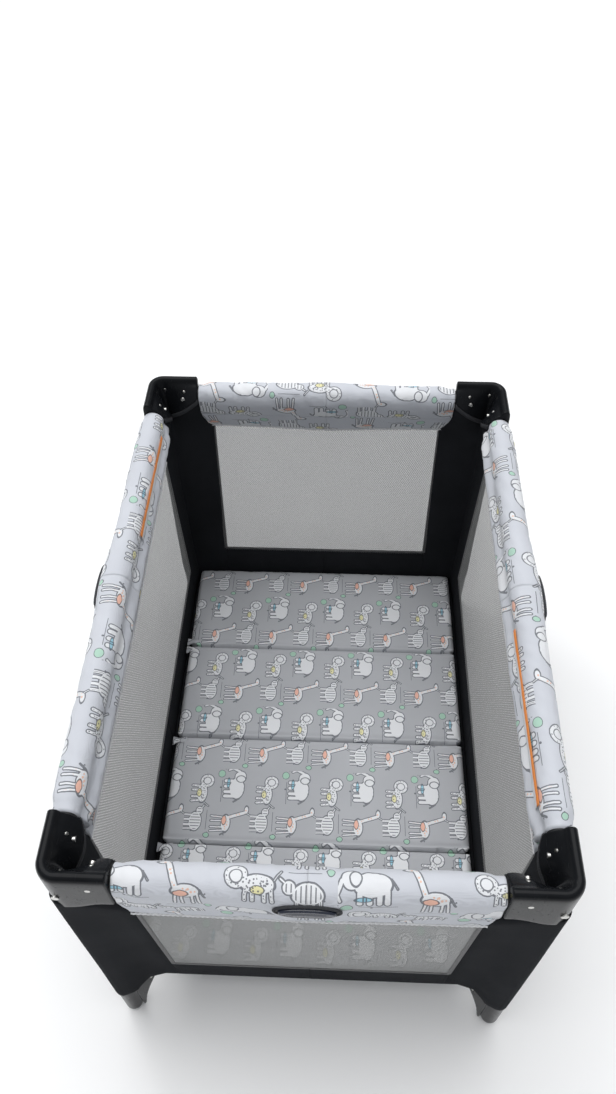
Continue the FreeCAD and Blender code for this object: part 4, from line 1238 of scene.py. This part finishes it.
def made_by(tree, painted, source, sizes, finish_used):
    """Runs a tree on a mesh, and leaves a plain mesh."""
    painted.inputs["Material"].default_value = finish_used
    modifier = source.modifiers.new("nodes", "NODES")
    modifier.node_group = tree
    for item in tree.interface.items_tree:
        if item.in_out == "INPUT" and item.name in sizes:
            modifier[item.identifier] = sizes[item.name]
    graph = bpy.context.evaluated_depsgraph_get()
    mesh = bpy.data.meshes.new_from_object(source.evaluated_get(graph), depsgraph=graph)
    source.modifiers.clear()
    source.data = mesh
    mesh.materials.clear()
    mesh.materials.append(finish_used)
    mesh.shade_smooth()
    return source


STITCHES, SCREWS = stitch_tree(), screw_tree()


def line_piece(name, runs):
    points, edges = [], []
    for run in runs:
        first = len(points)
        points += run
        edges += [(first + i, first + i + 1) for i in range(len(run) - 1)]
    mesh = bpy.data.meshes.new(name)
    mesh.from_pydata([tuple(p) for p in points], edges, [])
    made = bpy.data.objects.new(name, mesh)
    scene.collection.objects.link(made)
    return made


print("trees ready")

# %% Stitch rows on the walls
STITCH_INSET, STITCH_PROUD = 0.0045, 0.00126

for rail, (outward, way, reach, half_length, first, second) in RAILS.items():
    for half, side in ((first, -1), (second, 1)):
        edge, up = WINDOW_EDGE[rail], BAND_TOP - STITCH_INSET
        runs = [[on_rail(rail, side * edge * i / 30, wall_out(rail, up) + off, up) for i in range(31)]
                for off in (-STITCH_PROUD, STITCH_PROUD)]
        row = line_piece(f"{rail}_wall_stitches_{half}", runs)
        made_by(*STITCHES, row, {"Length": 0.0036, "Gap": 0.0056, "Radius": 0.00045}, DARK_THREAD)
        folds_with(row, rail, half)
print("wall stitches", len(row.data.polygons), "faces in a row")

# %% Screws in the caps' dishes
SCREW_SPOTS = [(0.052, 0.010), (0.010, 0.052), (0.012, 0.002)]
SPECK = 0.0001          # half the width of the tiny face that carries a screw

bpy.context.view_layer.update()
for corner, cap in caps.items():
    shape = bmesh.new()
    for a, b in SCREW_SPOTS:
        above = corner_place(corner, (a, b, 0.80))
        hit, where, normal, _ = cap.ray_cast(above, Vector((0, 0, -1)))
        if hit:
            side = normal.orthogonal().normalized() * SPECK
            other = normal.cross(side)
            shape.faces.new([shape.verts.new(where + side * x + other * y)
                             for x, y in ((-1, -1), (1, -1), (0, 1.2))])
    mesh = bpy.data.meshes.new(f"cap_screws_{corner}")
    shape.to_mesh(mesh)
    shape.free()
    screws = bpy.data.objects.new(f"cap_screws_{corner}", mesh)
    scene.collection.objects.link(screws)
    made_by(*SCREWS, screws, {"Radius": 0.0028, "Height": 0.0016}, PLATED)
    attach(screws, f"leg_{corner}")
print("screws made")

# %% Bindings under the caps' inner lips
for corner in CORNERS:
    rings = []
    for outer, inner, lip, skirt in cap_stations():
        a, b = inner
        top, bottom = lip - 0.003, lip - 0.015
        out_a, out_b = (Vector(inner) - Vector(outer)).normalized()
        section = ((-0.0018, top), (0.0002, top), (0.0012, (top + bottom) / 2), (0.0004, bottom),
                   (-0.0018, bottom))
        rings.append([corner_place(corner, (a + out_a * d, b + out_b * d, z)) for d, z in section])
    tape = loft(f"cap_binding_{corner}", rings, BINDING)
    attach(tape, f"leg_{corner}")
print("bindings made")

# %% Satin labels inside the side covers
for rail, half, start, stop in (("left", "back", 0.102, 0.357), ("right", "front", 0.077, 0.374)):
    whole = smooth_curve([(a, b, 0) for a, b in DROP], 200)
    curve = sorted((v for v in whole if v.x < -0.012 and -0.034 < v.y < 0.008), key=lambda v: v.y)
    points, faces, maps, rows, columns = [], [], [], len(curve) - 1, 60
    heights = running(curve)
    for j, (out, up, _) in enumerate(curve):
        for i in range(columns + 1):
            s = start + (stop - start) * i / columns
            base = on_rail(rail, s, out, up)
            middle = on_rail(rail, s, 0.002, -0.008)
            points.append(base + (base - middle).normalized() * (0.0012 + 0.0005 * noise.noise(base * 40)))
    for j in range(rows):
        for i in range(columns):
            a = j * (columns + 1) + i
            faces.append((a, a + 1, a + columns + 2, a + columns + 1))
            maps += [(x / columns * (stop - start), heights[y])
                     for x, y in ((i, j), (i + 1, j), (i + 1, j + 1), (i, j + 1))]
    label = piece(f"{rail}_label", points, faces, LABEL, maps)
    if label.data.polygons[0].normal.dot(RAILS[rail][0]) > 0:
        label.data.flip_normals()
    settled(label, ("SOLIDIFY", {"thickness": 0.0004, "offset": 0.0}))
    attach(label, f"rail_{rail}_{half}")
print("labels made")

# %% [markdown]
# ## Floor, light and camera
# A plain pale floor under soft light from above, and a camera held high over the near end.

# %% Floor and light
floor_mesh = bpy.data.meshes.new("studio_floor")
floor_mesh.from_pydata([(-30, -30, 0), (30, -30, 0), (30, 30, 0), (-30, 30, 0)], [], [(0, 1, 2, 3)])
studio_floor = bpy.data.objects.new("studio_floor", floor_mesh)
scene.collection.objects.link(studio_floor)
floor_mesh.materials.append(finish("studio floor", {"Base Color": (0.93, 0.93, 0.93, 1), "Roughness": 0.9}))
studio_floor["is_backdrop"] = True

world = bpy.data.worlds.new("soft studio")
scene.world = world
world.use_nodes = True
sky = Recipe(world.node_tree)
_, _, height = sky.parts(sky.place("Generated"))
glow = sky.mix(sky.maths("MAXIMUM", height, 0), (0.26, 0.27, 0.28, 1), (0.95, 0.97, 1.0, 1))
backdrop = world.node_tree.nodes["Background"]
seen = Link(sky, sky.node("ShaderNodeLightPath").outputs["Is Camera Ray"])
glow = sky.mix(seen, glow, (1.5, 1.5, 1.5, 1))
world.node_tree.links.new(glow.socket, backdrop.inputs[0])
backdrop.inputs[1].default_value = 0.62


def lamp(name, kind, at, towards, power, **settings):
    light = bpy.data.lights.new(name, kind)
    light.energy = power
    for key, value in settings.items():
        setattr(light, key, value)
    made = bpy.data.objects.new(name, light)
    made.location = at
    made.rotation_euler = (Vector(towards) - Vector(at)).to_track_quat("-Z", "Y").to_euler()
    scene.collection.objects.link(made)


lamp("soft_daylight", "SUN", (-0.5, 0.9, 4.0), (0, 0, 0), 2.3, angle=math.radians(70))
lamp("window", "AREA", (-1.8, 1.9, 2.6), (0, 0, 0.5), 14, shape="SQUARE", size=0.8)

# %% Camera
camera = bpy.data.objects.new("camera", bpy.data.cameras.new("camera"))
scene.collection.objects.link(camera)
scene.camera = camera
camera.location = (0.0246, -0.8917, 1.8816)
camera.rotation_euler = (0.694, 0.008, 0.038)
camera.data.sensor_fit = "VERTICAL"
camera.data.sensor_height = 36
camera.data.sensor_width = 36
camera.data.lens = 28.84
camera.data.clip_start = 0.05
scene.view_settings.view_transform = "Standard"

# %% Sizes, and the end
low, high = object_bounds()
print("visual box", [round(v, 3) for v in (*low, *high)])
